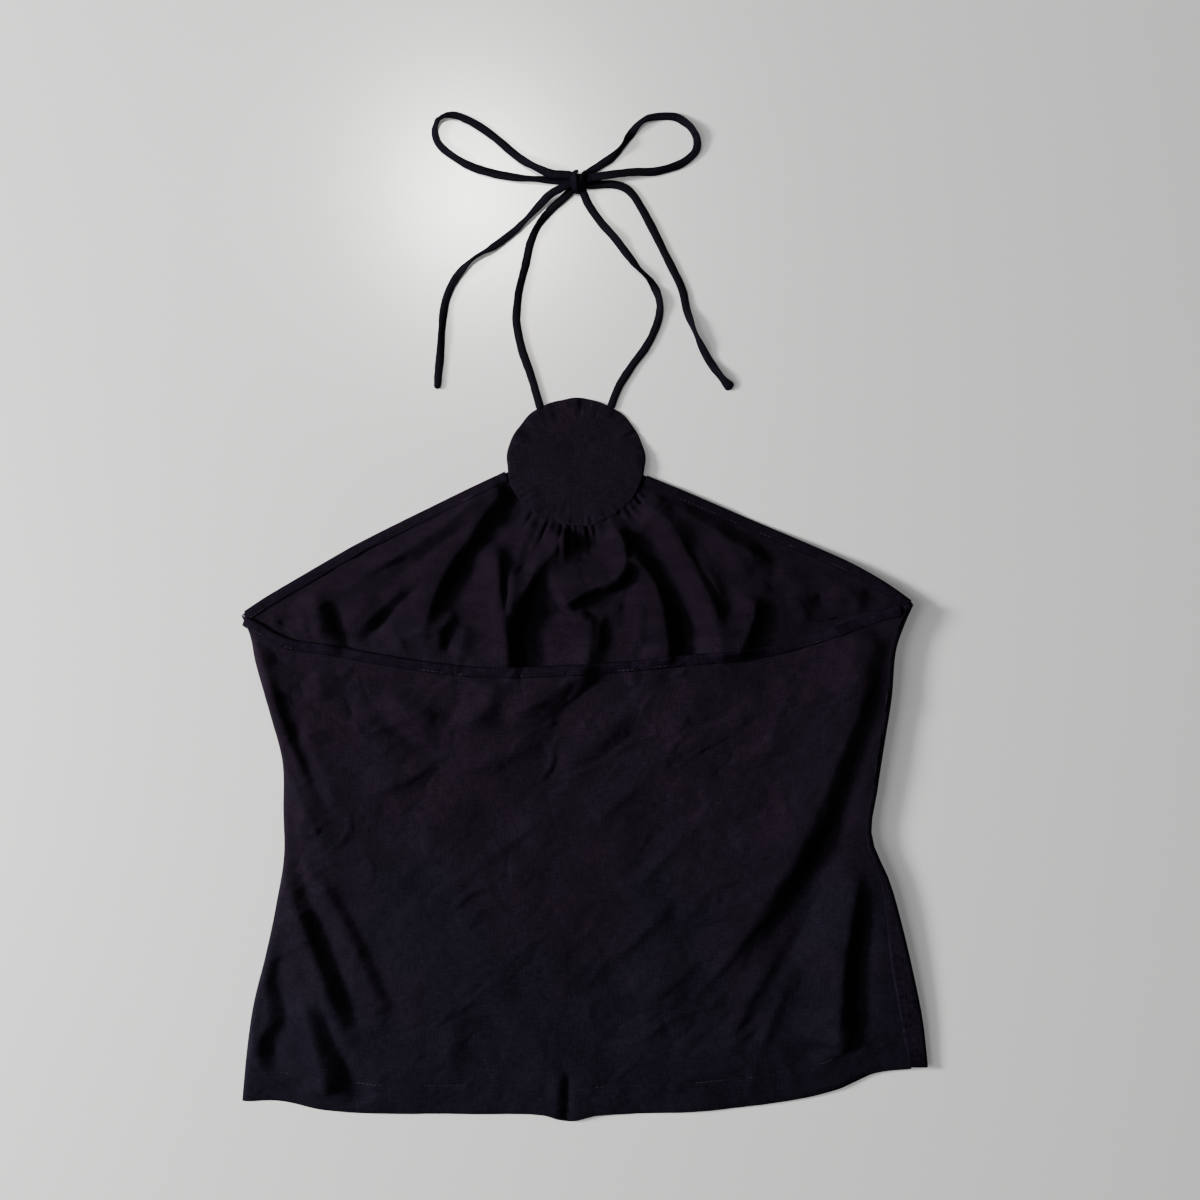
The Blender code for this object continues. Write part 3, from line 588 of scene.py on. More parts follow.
def frontPlace(across, up):
    flat, body = frontSetup["flatShare"], frontSetup["bodyShare"]
    along = np.minimum(across / flat, 1.0)
    wrap = np.maximum(across - flat, 0.0) / (1.0 - flat)
    rise = 1.0 - (1.0 - np.minimum(up / body, 1.0)) ** 1.7
    leftX, rightX = readTable(sides, "leftX", rise) + 1.6, readTable(sides, "rightX", rise)
    lift, radius = readTable(sides, "edgeLift", rise), readTable(sides, "roll", rise) / 2.0
    bow = 1.0 - (2.0 * along - 1.0) ** 2
    drop = between(readTable(hem, "drop", along) - 1.2, bow * armholes["rows"][0][5], rise)
    bodyY = sideY(rise, along) - drop
    bodyX = between(leftX, rightX - radius, along)
    bodyZ = rightRise(bodyX, rightX - radius, lift)
    turned = np.minimum(wrap / frontSetup["rollShare"], 1.0) * math.pi
    run = np.maximum(wrap - frontSetup["rollShare"], 0.0) / (1.0 - frontSetup["rollShare"])
    run = run * (readTable(sides, "seamInset", rise) - radius)
    pinch = 0.5 * softNoise(bodyY, bodyY * 0.0, 17.0, 5) + 0.25 * softNoise(bodyY, bodyY * 0.0, 6.0, 6)
    rolledX = rightX - radius + radius * np.sin(turned) - run + pinch * (wrap > 0.98)
    rolledZ = lift + radius - radius * np.cos(turned) + 0.2 * pinch * wrap - 0.25 * run / 10.0
    bodyX, bodyZ = np.where(wrap > 0.0, rolledX, bodyX), np.where(wrap > 0.0, rolledZ, bodyZ)

    high = np.clip((up - body) / (1.0 - body), 0.0, 1.0)
    rounding = smoothStep(0.3, 1.0, high)
    spaced = between(along, (1.0 - np.cos(math.pi * along)) / 2.0, rounding)
    sag = (1.0 - (2.0 * spaced - 1.0) ** 2) ** between(1.0, 0.5, rounding)
    yokeX = between(readTable(armholes, "leftX", high), readTable(armholes, "rightX", high), spaced)
    yokeY = between(readTable(armholes, "leftY", high), readTable(armholes, "rightY", high), spaced)
    yokeY = yokeY - readTable(armholes, "bow", high) * sag
    yokeLift = sides["rows"][-1][4] * smoothStep(0.5, 0.0, high)
    yokeZ = rightRise(yokeX, readTable(armholes, "rightX", high), yokeLift)

    x, y = np.where(up > body, yokeX, bodyX), np.where(up > body, yokeY, bodyY)
    z = np.where(up > body, yokeZ, bodyZ) + np.where(wrap > 0.0, 0.0, frontHeight(x, y))
    return x, y, z


def makeFront(setup):
    shape = gridShape(setup["columns"], setup["rows"])
    spare = [face for face in shape.faces
             if face.calc_center_median().y + 0.5 > setup["bodyShare"]
             and face.calc_center_median().x + 0.5 > setup["flatShare"]]
    bmesh.ops.delete(shape, geom=spare, context="FACES")
    piece = newPiece("front_cloth", shape, [blackCloth("front cotton", "cotton", setup["cut"], 0.26)])
    movePoints(piece, frontPlace)
    giveWall(piece, setup["wall"], 1.0)
    return fitPiece(piece, "cotton", "front_panel")


frontCloth = makeFront(frontSetup)
print("front panel made")

backSetup = {"wall": 0.7, "gap": 0.35, "columns": 262, "rows": 186, "slope": 62.0, "tuck": 1.4,
             "neckLift": 3.0, "loft": 2.6, "curl": 4.5, "turnUp": 17.5, "cut": (400.0, 300.0)}

backFolds = (
    (((181.0, 76.0), (168.0, 44.0), (150.0, 2.0), (134.0, -36.0), (113.0, -74.0), (90.0, -106.0),
      (62.0, -136.0)), 8.0, 36.0, 13.0, 0.06, 0.45),
    (((188.0, 66.0), (178.0, 30.0), (163.0, -6.0), (149.0, -40.0), (130.0, -76.0), (108.0, -108.0),
      (88.0, -132.0)), -4.2, 12.0, 12.0, 0.08, 0.45),
    (((165.9, -51.9), (159.3, -84.9), (153.9, -117.9), (151.8, -150.9), (149.3, -174.9)),
     6.5, 17.0, 8.0, 0.25, 0.10),
    (((174.8, -66.9), (168.9, -98.9), (164.8, -127.9), (163.8, -150.9), (169.8, -168.9)),
     -4.4, 8.0, 10.0, 0.25, 0.2),
    (((157.8, -153.9), (153.9, -171.9), (145.0, -176.8), (133.3, -177.9)), 2.0, 3.6, 4.0, 0.25, 0.3),
    (((146.3, -66.9), (128.3, -104.9), (112.8, -134.9)), -2.8, 8.0, 9.0, 0.3, 0.35),
    (((118.3, -108.9), (100.3, -140.9), (84.3, -173.9)), 2.0, 8.0, 4.5, 0.3, 0.3),
    (((128.3, -116.9), (113.8, -149.9), (102.3, -179.9)), 1.6, 6.0, 4.5, 0.3, 0.3),
    (((104.0, -108.0), (86.0, -134.0), (70.0, -156.0)), 1.0, 7.0, 4.0, 0.35, 0.35),
    (((-195.2, 57.1), (-186.2, 22.1), (-174.2, -11.9), (-160.2, -41.9), (-146.0, -70.0)),
     3.4, 8.0, 9.0, 0.15, 0.35),
    (((-186.2, 55.1), (-174.2, 20.1), (-161.2, -14.9), (-147.2, -43.9)), -3.2, 8.0, 9.0, 0.2, 0.4),
    (((-172.7, 40.1), (-155.7, -6.9), (-140.7, -42.9)), 2.0, 8.0, 7.0, 0.3, 0.4),
    (((-181.0, -46.0), (-176.5, -76.0), (-165.0, -107.0), (-156.0, -131.0), (-147.0, -156.0),
      (-141.0, -178.0)), 4.4, 9.0, 7.0, 0.2, 0.25),
    (((-171.5, -53.9), (-166.3, -78.3), (-154.3, -108.3), (-145.3, -131.7), (-136.9, -155.7),
      (-130.9, -176.1)), -3.6, 7.0, 9.0, 0.2, 0.3),
    (((-165.7, -51.9), (-143.7, -98.9), (-126.7, -134.9), (-113.7, -161.9)), 2.4, 9.0, 6.0, 0.3, 0.4),
    (((-157.7, -57.9), (-134.7, -102.9), (-117.7, -138.9), (-104.7, -163.9)), -2.6, 6.0, 10.0, 0.3, 0.4),
    (((-167.9, -134.9), (-160.9, -166.9), (-152.7, -200.9)), 3.8, 9.0, 7.0, 0.25, 0.08),
    (((-159.1, -139.7), (-150.3, -165.9), (-141.9, -185.1), (-132.9, -207.5)), -3.8, 6.0, 9.0, 0.25, 0.08),
    (((-186.0, -100.0), (-191.0, -128.0), (-188.0, -152.0), (-195.0, -172.0), (-190.0, -192.0)),
     2.6, 6.0, 6.0, 0.2, 0.15),
    (((-177.5, -108.5), (-182.5, -131.7), (-178.3, -155.7), (-185.7, -171.9), (-181.3, -192.3)),
     -3.2, 6.0, 7.0, 0.25, 0.2),
    (((-44.7, -51.9), (-46.0, -64.0), (-46.5, -75.9)), -0.6, 1.4, 1.3, 0.35, 0.35),
    (((15.3, -84.9), (1.0, -104.0), (-14.7, -120.9)), 0.5, 3.0, 1.6, 0.3, 0.3),
    (((45.3, -30.9), (33.0, -54.0), (15.3, -72.9)), 0.55, 3.0, 1.6, 0.3, 0.3),
    (((69.3, -15.9), (58.0, -26.5), (48.3, -36.9)), 0.4, 2.6, 1.6, 0.3, 0.3),
    (((30.3, -96.9), (13.0, -119.5), (-2.7, -141.9)), 0.5, 3.0, 1.6, 0.3, 0.3),
    (((75.3, -111.9), (52.0, -135.0), (27.3, -150.9)), 0.8, 4.0, 2.4, 0.3, 0.3),
    (((75.3, -24.9), (66.0, -41.0), (58.8, -54.9)), 0.35, 2.2, 1.4, 0.35, 0.35),
    (((15.3, -105.9), (7.0, -117.0), (-2.7, -126.9)), 0.35, 2.0, 1.4, 0.35, 0.35),
    (((28.0, 50.0), (1.0, 34.0), (-34.0, 9.0)), -5.2, 9.0, 12.0, 0.15, 0.35),
    (((8.0, 56.0), (-20.0, 41.0), (-50.0, 22.0)), 4.8, 17.0, 7.5, 0.2, 0.35),
    (((-50.0, 48.0), (-58.0, 32.0), (-78.0, 14.0)), 4.2, 13.0, 7.0, 0.25, 0.35),
    (((-127.7, 30.1), (-110.0, 15.0), (-92.7, 4.1), (-66.7, 5.1)), -3.4, 8.0, 7.0, 0.3, 0.35),
    (((-122.0, 42.0), (-103.0, 29.0), (-82.0, 24.0)), 3.6, 10.0, 6.5, 0.3, 0.35),
    (((-197.0, 76.0), (-189.0, 50.0), (-180.0, 22.0), (-168.0, -8.0), (-152.0, -36.0)),
     4.6, 6.0, 6.5, 0.1, 0.35),
    (((-170.0, 66.0), (-160.0, 50.0), (-152.0, 30.0)), 2.8, 8.0, 9.0, 0.25, 0.4),
    (((-182.0, 70.0), (-168.0, 56.0), (-158.0, 38.0)), -4.0, 9.0, 14.0, 0.2, 0.4),
    (((30.0, 30.0), (4.0, 6.0), (-26.0, -8.0)), 2.6, 12.0, 6.0, 0.3, 0.4),
    (((-174.0, -46.0), (-160.0, -72.0), (-146.0, -92.0)), 2.4, 7.0, 5.0, 0.3, 0.4),
    (((-196.0, -120.0), (-199.0, -150.0), (-197.0, -186.0)), 2.2, 5.0, 6.0, 0.25, 0.2),
    (((150.0, -20.0), (122.0, -66.0), (92.0, -104.0)), 2.4, 14.0, 7.0, 0.3, 0.4),
    (((40.0, -8.0), (18.0, -28.0), (-4.0, -44.0)), 1.3, 6.0, 3.2, 0.3, 0.4),
    (((-20.0, -30.0), (-44.0, -50.0), (-66.0, -62.0)), 1.2, 6.0, 3.2, 0.3, 0.4),
    (((66.0, -40.0), (44.0, -62.0), (24.0, -84.0)), 1.4, 6.0, 3.4, 0.3, 0.4),
    (((56.0, -84.0), (30.0, -108.0), (4.0, -132.0)), 1.5, 7.0, 3.6, 0.3, 0.4),
    (((112.0, -84.0), (86.0, -118.0), (60.0, -150.0)), 1.8, 7.0, 4.2, 0.3, 0.4),
    (((-18.0, 14.0), (-52.0, 0.0), (-86.0, -12.0)), 2.2, 9.0, 5.0, 0.3, 0.4),
    (((84.0, 26.0), (56.0, 4.0), (30.0, -6.0)), 2.0, 10.0, 5.0, 0.3, 0.4),
    (((-90.0, 2.0), (-112.0, -14.0), (-138.0, -22.0)), 1.8, 9.0, 5.0, 0.3, 0.4),
    (((-68.7, 41.1), (-77.0, 30.0), (-83.7, 17.1)), -1.4, 4.5, 4.0, 0.35, 0.35),
    (((72.0, 44.0), (58.0, 22.0), (38.0, 4.0)), 2.2, 14.0, 7.0, 0.3, 0.4),
    (((112.0, 48.0), (92.0, 26.0), (64.0, 8.0)), 2.0, 11.0, 7.0, 0.3, 0.4),
    (((142.0, 52.0), (126.0, 24.0), (104.0, 0.0)), 2.0, 10.0, 6.0, 0.3, 0.4),
    (((-150.0, 10.0), (-128.0, -6.0), (-100.0, -12.0)), 1.0, 8.0, 6.0, 0.3, 0.4),
    (((-10.7, -184.0), (-10.2, -196.0), (-10.7, -216.0)), -1.6, 2.6, 3.0, 0.4, 0.02),
    (((-16.5, -186.0), (-16.0, -200.0), (-16.5, -216.0)), 1.2, 4.0, 3.0, 0.4, 0.02),
)


def hemY(x):
    along = np.clip((x + 204.8) / 399.0, 0.0, 1.0)
    return sideY(0.0, along) - readTable(hem, "drop", along)


def backHeight(x, y, rise):  # height of the back's lower face over the table
    leftX, rightX = readTable(sides, "leftX", rise), readTable(sides, "rightX", rise)
    edgeLift, roll = readTable(sides, "edgeLift", rise), readTable(sides, "roll", rise)
    seamX = rightX - readTable(sides, "seamInset", rise)
    wall, gap = frontSetup["wall"], backSetup["gap"]
    edge = smoothStep(seamX - backSetup["slope"], seamX, x)
    neckLift = backSetup["neckLift"] * smoothStep(0.86, 1.0, rise) * smoothStep(leftX, leftX + 50.0, x)
    up = y - hemY(x)
    loft = backSetup["loft"] * smoothStep(0.0, 22.0, x - leftX) * smoothStep(0.0, 26.0, up)
    rest = wall + gap + 0.5 + np.maximum(neckLift, loft * smoothStep(1.0, 0.9, rise))
    height = between(rest, edgeLift + roll - 1.5, edge ** 1.3)
    folds = foldField(x, y, backFolds)
    height = height + folds * (1.0 - edge ** 9)
    worn = between(1.5, 2.1, smoothStep(0.45, 0.95, rise)) * (1.0 - 0.8 * edge ** 4)
    height = height + worn * crumple(x, y, 71)
    turnUp = backSetup["turnUp"]
    height = height + 0.35 * smoothStep(turnUp + 1.2, turnUp - 1.2, up)
    height = height - 0.22 * np.exp(-((up - turnUp) / 1.1) ** 2)
    ripple = softNoise(x, x * 0.0, 5.5, 91) + 0.6 * softNoise(x, up, 3.4, 92)
    height = height + 0.24 * ripple * np.exp(-((up - turnUp) / 7.0) ** 2)
    low = wall + gap + rightRise(x, rightX - roll / 2.0, edgeLift)
    nearNeck = smoothStep(0.80, 0.86, rise)
    low = between(low, np.maximum(low, frontTop(x, y) + gap), nearNeck)
    height = low + 0.5 * ((height - low) + np.sqrt((height - low) ** 2 + 0.09))
    curl = np.clip((x - leftX) / backSetup["curl"], 0.0, 1.0)
    height = height * np.sqrt(1.0 - (1.0 - curl) ** 2 * 0.985)
    return height * between(0.45, 1.0, smoothStep(0.0, 1.6, up) ** 0.5)


def backPlace(along, rise):
    leftX = readTable(sides, "leftX", rise)
    seamX = readTable(sides, "rightX", rise) - readTable(sides, "seamInset", rise) + backSetup["tuck"]
    x = between(leftX, seamX, between(along, smoothStep(0.0, 1.0, along), 0.12))
    drop = between(readTable(hem, "drop", along), readTable(neckline, "drop", along), rise)
    y = sideY(rise, along) - drop
    return x, y, backHeight(x, y, rise)


def makeBack(setup):
    piece = newPiece("back_cloth", gridShape(setup["columns"], setup["rows"]),
                     [blackCloth("back cotton", "cotton", setup["cut"])])
    movePoints(piece, backPlace)
    giveWall(piece, setup["wall"], 1.0)
    return fitPiece(piece, "cotton", "back_panel")


backCloth = makeBack(backSetup)
print("back panel made")

discSetup = {"cells": 124, "rim": 0.95, "cloth": 0.5, "cut": (83.0, 78.0)}


def discPlace(across, up):
    a, b = 2.0 * across - 1.0, 2.0 * up - 1.0
    u, v = a * np.sqrt(1.0 - b * b / 2.0), b * np.sqrt(1.0 - a * a / 2.0)
    share = np.hypot(u, v)
    angle = np.arctan2(v, u)
    rolled = np.clip((share - discSetup["rim"]) / (1.0 - discSetup["rim"]), 0.0, 1.0) * math.pi / 2.0
    reach = np.where(rolled > 0.0, discSetup["rim"] + (1.0 - discSetup["rim"]) * np.sin(rolled), share)
    reach = reach / np.maximum(share, 1e-6)
    wave = 1.0 + 0.006 * np.sin(9.0 * angle + 0.6) + 0.004 * np.sin(17.0 * angle)
    reach = reach * between(1.0, wave, smoothStep(0.6, 1.0, share))
    x = disc["middle"][0] + disc["radii"][0] * u * reach
    y = disc["middle"][1] + disc["radii"][1] * v * reach
    raised = smoothStep(disc["middle"][1] + 22.0, disc["middle"][1] - 4.0, y)
    base = 0.15 + (frontSetup["wall"] + 0.2 + disc["lift"]) * raised
    allowance = np.exp(-((share - 0.86) / 0.075) ** 2)
    pillow = between(disc["wall"] - 0.7, disc["wall"] - 0.3, smoothStep(0.98, 0.4, share))
    pillow = pillow + 0.16 * allowance
    round1 = softNoise(angle * 9.0, share * 3.0, 1.0, 31)
    round2 = softNoise(angle * 17.0, share * 5.0, 1.0, 32)
    ripples = (0.5 * round1 + 0.42 * round2) * smoothStep(0.62, 0.93, share)
    top = base + pillow + ripples + 0.8 * crumple(x, y, 131)
    z = between(base + disc["rimWall"], top, np.cos(rolled) ** 0.8)
    return x, y, np.maximum(z, discSetup["cloth"] + 0.15)


def makeDisc(setup):
    piece = newPiece("neck_disc_cloth", gridShape(setup["cells"], setup["cells"]),
                     [blackCloth("disc cotton", "cotton", setup["cut"], 0.34)])
    movePoints(piece, discPlace)
    giveWall(piece, setup["cloth"], -1.0)
    return fitPiece(piece, "cotton", "neck_disc")


discCloth = makeDisc(discSetup)
print("neck disc made")

bandSetup = {"step": 1.0, "cloth": 0.45, "pucker": 0.13}
bandSection = {  # out: distance beyond the cloth's edge. height: over the cloth's upper face
    "columns": ("out", "height"),
    "rows": ((1.0, -1.2), (1.15, -0.4), (0.85, 0.4), (0.2, 0.9), (-0.8, 1.1), (-2.0, 1.05), (-3.2, 1.0),
             (-3.9, 0.92), (-4.3, 0.68), (-4.8, 0.88), (-5.2, 0.66), (-5.4, 0.15), (-5.5, -0.25)),
}
stitchSetup = {"length": 2.05, "gap": 0.62, "radius": 0.24, "step": 0.25, "inset": 4.25, "lift": 0.84,
               "hemLift": 0.06, "lean": 0.09, "bareEnd": 8}


def unit(arrows):
    return arrows / np.linalg.norm(arrows, axis=1)[:, None]


def alongPath(path):  # the direction of a path and the one to its left, at each of its points
    run = unit(np.gradient(path, axis=0))
    return run, np.stack([-run[:, 1], run[:, 0]], axis=1)


def makeBand(name, node, path, top, seed):  # a rounded strip on an edge whose cloth is to its right
    section = np.array(bandSection["rows"])
    run, side = alongPath(path)

    def place(across, up):
        step = np.rint(across * (len(path) - 1)).astype(int)
        row = np.rint(up * (len(section) - 1)).astype(int)
        out, height = section[row, 0], section[row, 1]
        x, y = path[step, 0] + side[step, 0] * out, path[step, 1] + side[step, 1] * out
        onCloth = np.minimum(out, -0.2)
        z = top(path[step, 0] + side[step, 0] * onCloth, path[step, 1] + side[step, 1] * onCloth)
        walk = step * bandSetup["step"]
        pucker = softNoise(walk, out * 0.2, 2.9, seed) + 0.5 * softNoise(walk, out, 1.4, seed + 1)
        return x, y, np.maximum(z + height + bandSetup["pucker"] * pucker * (height > 0.3), 0.1)

    cut = (len(path) * bandSetup["step"], 12.0)
    piece = newPiece(name, gridShape(len(path) - 1, len(section) - 1),
                     [blackCloth(name.replace("_", " "), "binding", cut, 0.36)])
    movePoints(piece, place)
    piece.data.flip_normals()
    giveWall(piece, bandSetup["cloth"], -1.0)
    return fitPiece(piece, "binding", node)


def makeStitches(name, path, inset, top, lift, seed, material):
    # short raised stitches along a path, inset to its right
    chance = np.random.default_rng(seed)
    run, side = alongPath(path)
    shape = bmesh.new()
    pitch = int(round((stitchSetup["length"] + stitchSetup["gap"]) / stitchSetup["step"]))
    for index in range(stitchSetup["bareEnd"], len(path) - stitchSetup["bareEnd"], pitch):
        spot = path[index] - side[index] * inset
        ahead = spot + run[index]
        rise = float(top(ahead[:1], ahead[1:])[0] - top(spot[:1], spot[1:])[0])
        facing = Vector((*run[index], rise)).to_track_quat("X", "Z").to_matrix().to_4x4()
        height = float(top(spot[:1], spot[1:])[0]) + lift
        size = Matrix.Diagonal((stitchSetup["length"] / 2.0, stitchSetup["radius"],
                                stitchSetup["radius"] * 0.8, 1.0))
        lean = Matrix.Rotation(chance.uniform(-stitchSetup["lean"], stitchSetup["lean"]), 4, "Z")
        place = Matrix.Translation((spot[0], spot[1], height))
        matrix = Matrix.Scale(mm, 4) @ place @ facing @ lean @ size
        bmesh.ops.create_uvsphere(shape, u_segments=6, v_segments=6, radius=1.0,
                                  matrix=matrix @ Matrix.Rotation(math.pi / 2.0, 4, "Y"))
    piece = newPiece(name, shape, [material])
    piece.data.shade_smooth()
    return fitPiece(piece, "binding")


def neckPath(step):
    x = np.linspace(-202.6, 195.2, 240)
    return evenPath(np.stack([x, necklineY(x)], axis=1)[::6], step)


def armholePath(side, step):
    rise = np.linspace(0.012, 0.925, 13)
    points = np.stack([readTable(armholes, side + axis, rise) for axis in "XY"], axis=1)
    return evenPath(points if side == "left" else points[::-1], step)


def neckTop(x, y):
    return backHeight(x, y, np.full_like(x, 0.995)) + backSetup["wall"]


def hemTop(x, y):
    return backHeight(x, y, np.full_like(x, 0.055)) + backSetup["wall"]


def makeBindings():
    step, fine = bandSetup["step"], stitchSetup["step"]
    inset, lift = stitchSetup["inset"], stitchSetup["lift"]
    stitchThread = threadMaterial("seam thread", (0.0030, 0.0024, 0.0042), (0.028, 0.025, 0.031))
    neckBand = makeBand("neck_binding", "back_neck_band", neckPath(step), neckTop, 201)
    makeStitches("neck_stitches", neckPath(fine), inset, neckTop, lift, 301, stitchThread)
    bands = []
    for side, seed in (("left", 211), ("right", 221)):
        name = side + "_armhole_binding"
        bands.append(makeBand(name, "armhole_band_" + side, armholePath(side, step), frontTop, seed))
        makeStitches(side + "_armhole_stitches", armholePath(side, fine), inset, frontTop, lift, seed + 100,
                     stitchThread)
    x = np.linspace(-198.0, 190.0, 60)
    hemPath = evenPath(np.stack([x, hemY(x)], axis=1), fine)
    makeStitches("hem_stitches", hemPath, -backSetup["turnUp"], hemTop, stitchSetup["hemLift"], 331,
                 stitchThread)
    return neckBand, bands


neckBand, armholeBands = makeBindings()
print("bindings and stitches made")

tieSetup = {"width": 5.0, "thick": 2.3, "around": 14, "step": 0.8, "wrinkle": 0.3}

tieRoutes = {  # x, y and z of the middle of each stretch, from the disc outwards
    "leftNeck": (
        (-26.2, 208.4, 2.3), (-27.0, 212.3, 2.3), (-29.1, 219.5, 2.3), (-32.4, 230.5, 2.3),
        (-37.5, 245.1, 2.3), (-40.6, 259.7, 2.3), (-40.7, 267.5, 2.3), (-39.0, 281.5, 2.3),
        (-35.3, 296.1, 2.3), (-32.4, 309.0, 2.3), (-27.3, 319.9, 2.3), (-20.0, 329.0, 2.3),
        (-12.2, 336.0, 2.6), (-8.4, 339.6, 3.0), (-3.6, 344.6, 3.2),
    ),
    "rightLoop": (
        (2.0, 350.4, 2.8), (10.0, 355.9, 2.3), (16.4, 360.1, 2.3), (22.2, 365.6, 2.3),
        (26.6, 372.6, 2.3), (32.4, 379.9, 2.3), (39.7, 384.0, 2.3), (52.8, 384.7, 2.3),
        (61.6, 379.9, 2.3), (67.0, 371.9, 2.3), (66.4, 363.9, 2.3), (58.7, 356.9, 2.3),
        (48.5, 352.9, 2.6), (39.7, 351.2, 3.4), (29.5, 350.6, 5.2), (17.9, 348.9, 7.0),
        (9.6, 347.6, 7.2), (3.4, 346.6, 6.6), (-3.0, 345.0, 6.2),
    ),
    "leftTail": (
        (-9.4, 342.9, 6.4), (-13.9, 340.7, 6.4), (-21.0, 336.6, 5.8), (-27.0, 331.1, 3.6),
        (-34.9, 323.0, 2.3), (-43.3, 315.0, 2.3), (-55.0, 306.3, 2.3), (-66.6, 299.3, 2.3),
        (-75.4, 290.3, 2.3), (-81.2, 280.1, 2.3), (-84.1, 269.9, 2.3), (-85.3, 258.2, 2.3),
        (-86.3, 243.6, 2.3), (-87.6, 230.5, 2.3), (-88.2, 221.3, 2.3),
    ),
    "rightNeck": (
        (15.6, 209.6, 2.3), (16.9, 213.8, 2.3), (20.8, 223.2, 2.3), (28.1, 234.9, 2.3),
        (36.8, 246.6, 2.3), (42.6, 258.2, 2.3), (45.1, 268.4, 2.3), (44.1, 277.2, 2.3),
        (39.7, 285.9, 2.3), (32.4, 293.5, 2.3), (25.2, 302.7, 2.3), (17.9, 312.1, 2.3),
        (9.1, 322.3, 2.3), (2.6, 331.8, 2.3), (-0.9, 339.4, 3.0), (-4.2, 345.0, 5.2),
    ),
    "leftLoop": (
        (-8.9, 348.3, 6.8), (-20.0, 349.2, 7.0), (-30.2, 353.8, 5.0), (-40.4, 360.9, 2.6),
        (-50.6, 369.7, 2.3), (-60.8, 377.4, 2.3), (-71.0, 383.2, 2.3), (-79.8, 385.7, 2.3),
        (-87.0, 383.1, 2.3), (-89.7, 376.2, 2.3), (-87.3, 368.5, 2.3), (-80.5, 362.0, 2.3),
        (-69.6, 355.5, 2.3), (-55.0, 350.7, 2.3), (-40.4, 348.1, 2.3), (-25.8, 347.0, 2.3),
        (-17.1, 346.4, 2.3), (-9.0, 346.2, 2.6), (-3.0, 345.0, 2.8),
    ),
    "rightTail": (
        (2.6, 343.6, 2.5), (9.5, 344.0, 2.3), (17.6, 343.9, 2.3), (25.2, 341.4, 2.3),
        (31.0, 335.0, 2.3), (38.3, 322.3, 2.3), (45.6, 307.8, 2.3), (52.8, 293.2, 2.3),
        (58.4, 281.5, 2.3), (61.6, 267.7, 2.3), (67.4, 252.4, 2.3), (74.7, 238.5, 2.3),
        (82.0, 228.3, 2.3), (88.3, 221.5, 2.3),
    ),
}
ties = {  # twists: where the flat tube turns over, as (x, y, reach, angle)
    "left_tie": {"routes": ("leftNeck", "rightLoop", "leftTail"),
                 "nodes": ("tie_left_neck", "tie_right_loop", "tie_left_tail"), "seed": 401,
                 "twists": ((-65.0, 301.0, 11.0, 76.0), (23.0, 366.0, 9.0, 70.0),
                            (-39.0, 283.0, 15.0, 30.0), (-31.0, 321.0, 9.0, 58.0),
                            (-86.0, 255.0, 12.0, -38.0), (33.0, 382.0, 8.0, -40.0),
                            (64.0, 376.0, 9.0, 52.0), (48.0, 354.0, 9.0, -35.0)),
                 "end": 0.86},
    "right_tie": {"routes": ("rightNeck", "leftLoop", "rightTail"),
                  "nodes": ("tie_right_neck", "tie_left_loop", "tie_right_tail"), "seed": 421,
                  "twists": ((66.0, 255.0, 12.0, 74.0), (34.0, 290.0, 10.0, 60.0),
                             (-78.0, 361.0, 12.0, 45.0), (-31.0, 352.0, 9.0, -45.0),
                             (45.0, 275.0, 8.0, -40.0), (80.0, 228.0, 7.0, 48.0),
                             (-89.0, 384.0, 9.0, 62.0), (20.0, 315.0, 9.0, -35.0)),
                  "end": 1.28},
}


def tiePath(routes, twists):
    points = np.array([point for name in routes for point in tieRoutes[name]])
    path = evenPath(points, tieSetup["step"])
    angle = np.zeros(len(path))
    for x, y, reach, degrees in twists:
        away = np.hypot(path[:, 0] - x, path[:, 1] - y)
        angle += math.radians(degrees) * np.exp(-(away / reach) ** 2)
    half = np.hypot(tieSetup["width"] / 2.0 * np.sin(angle), tieSetup["thick"] / 2.0 * np.cos(angle))
    path[:, 2] = half + 0.12 + np.maximum(path[:, 2] - 2.3, 0.0) * 0.94
    return path, angle


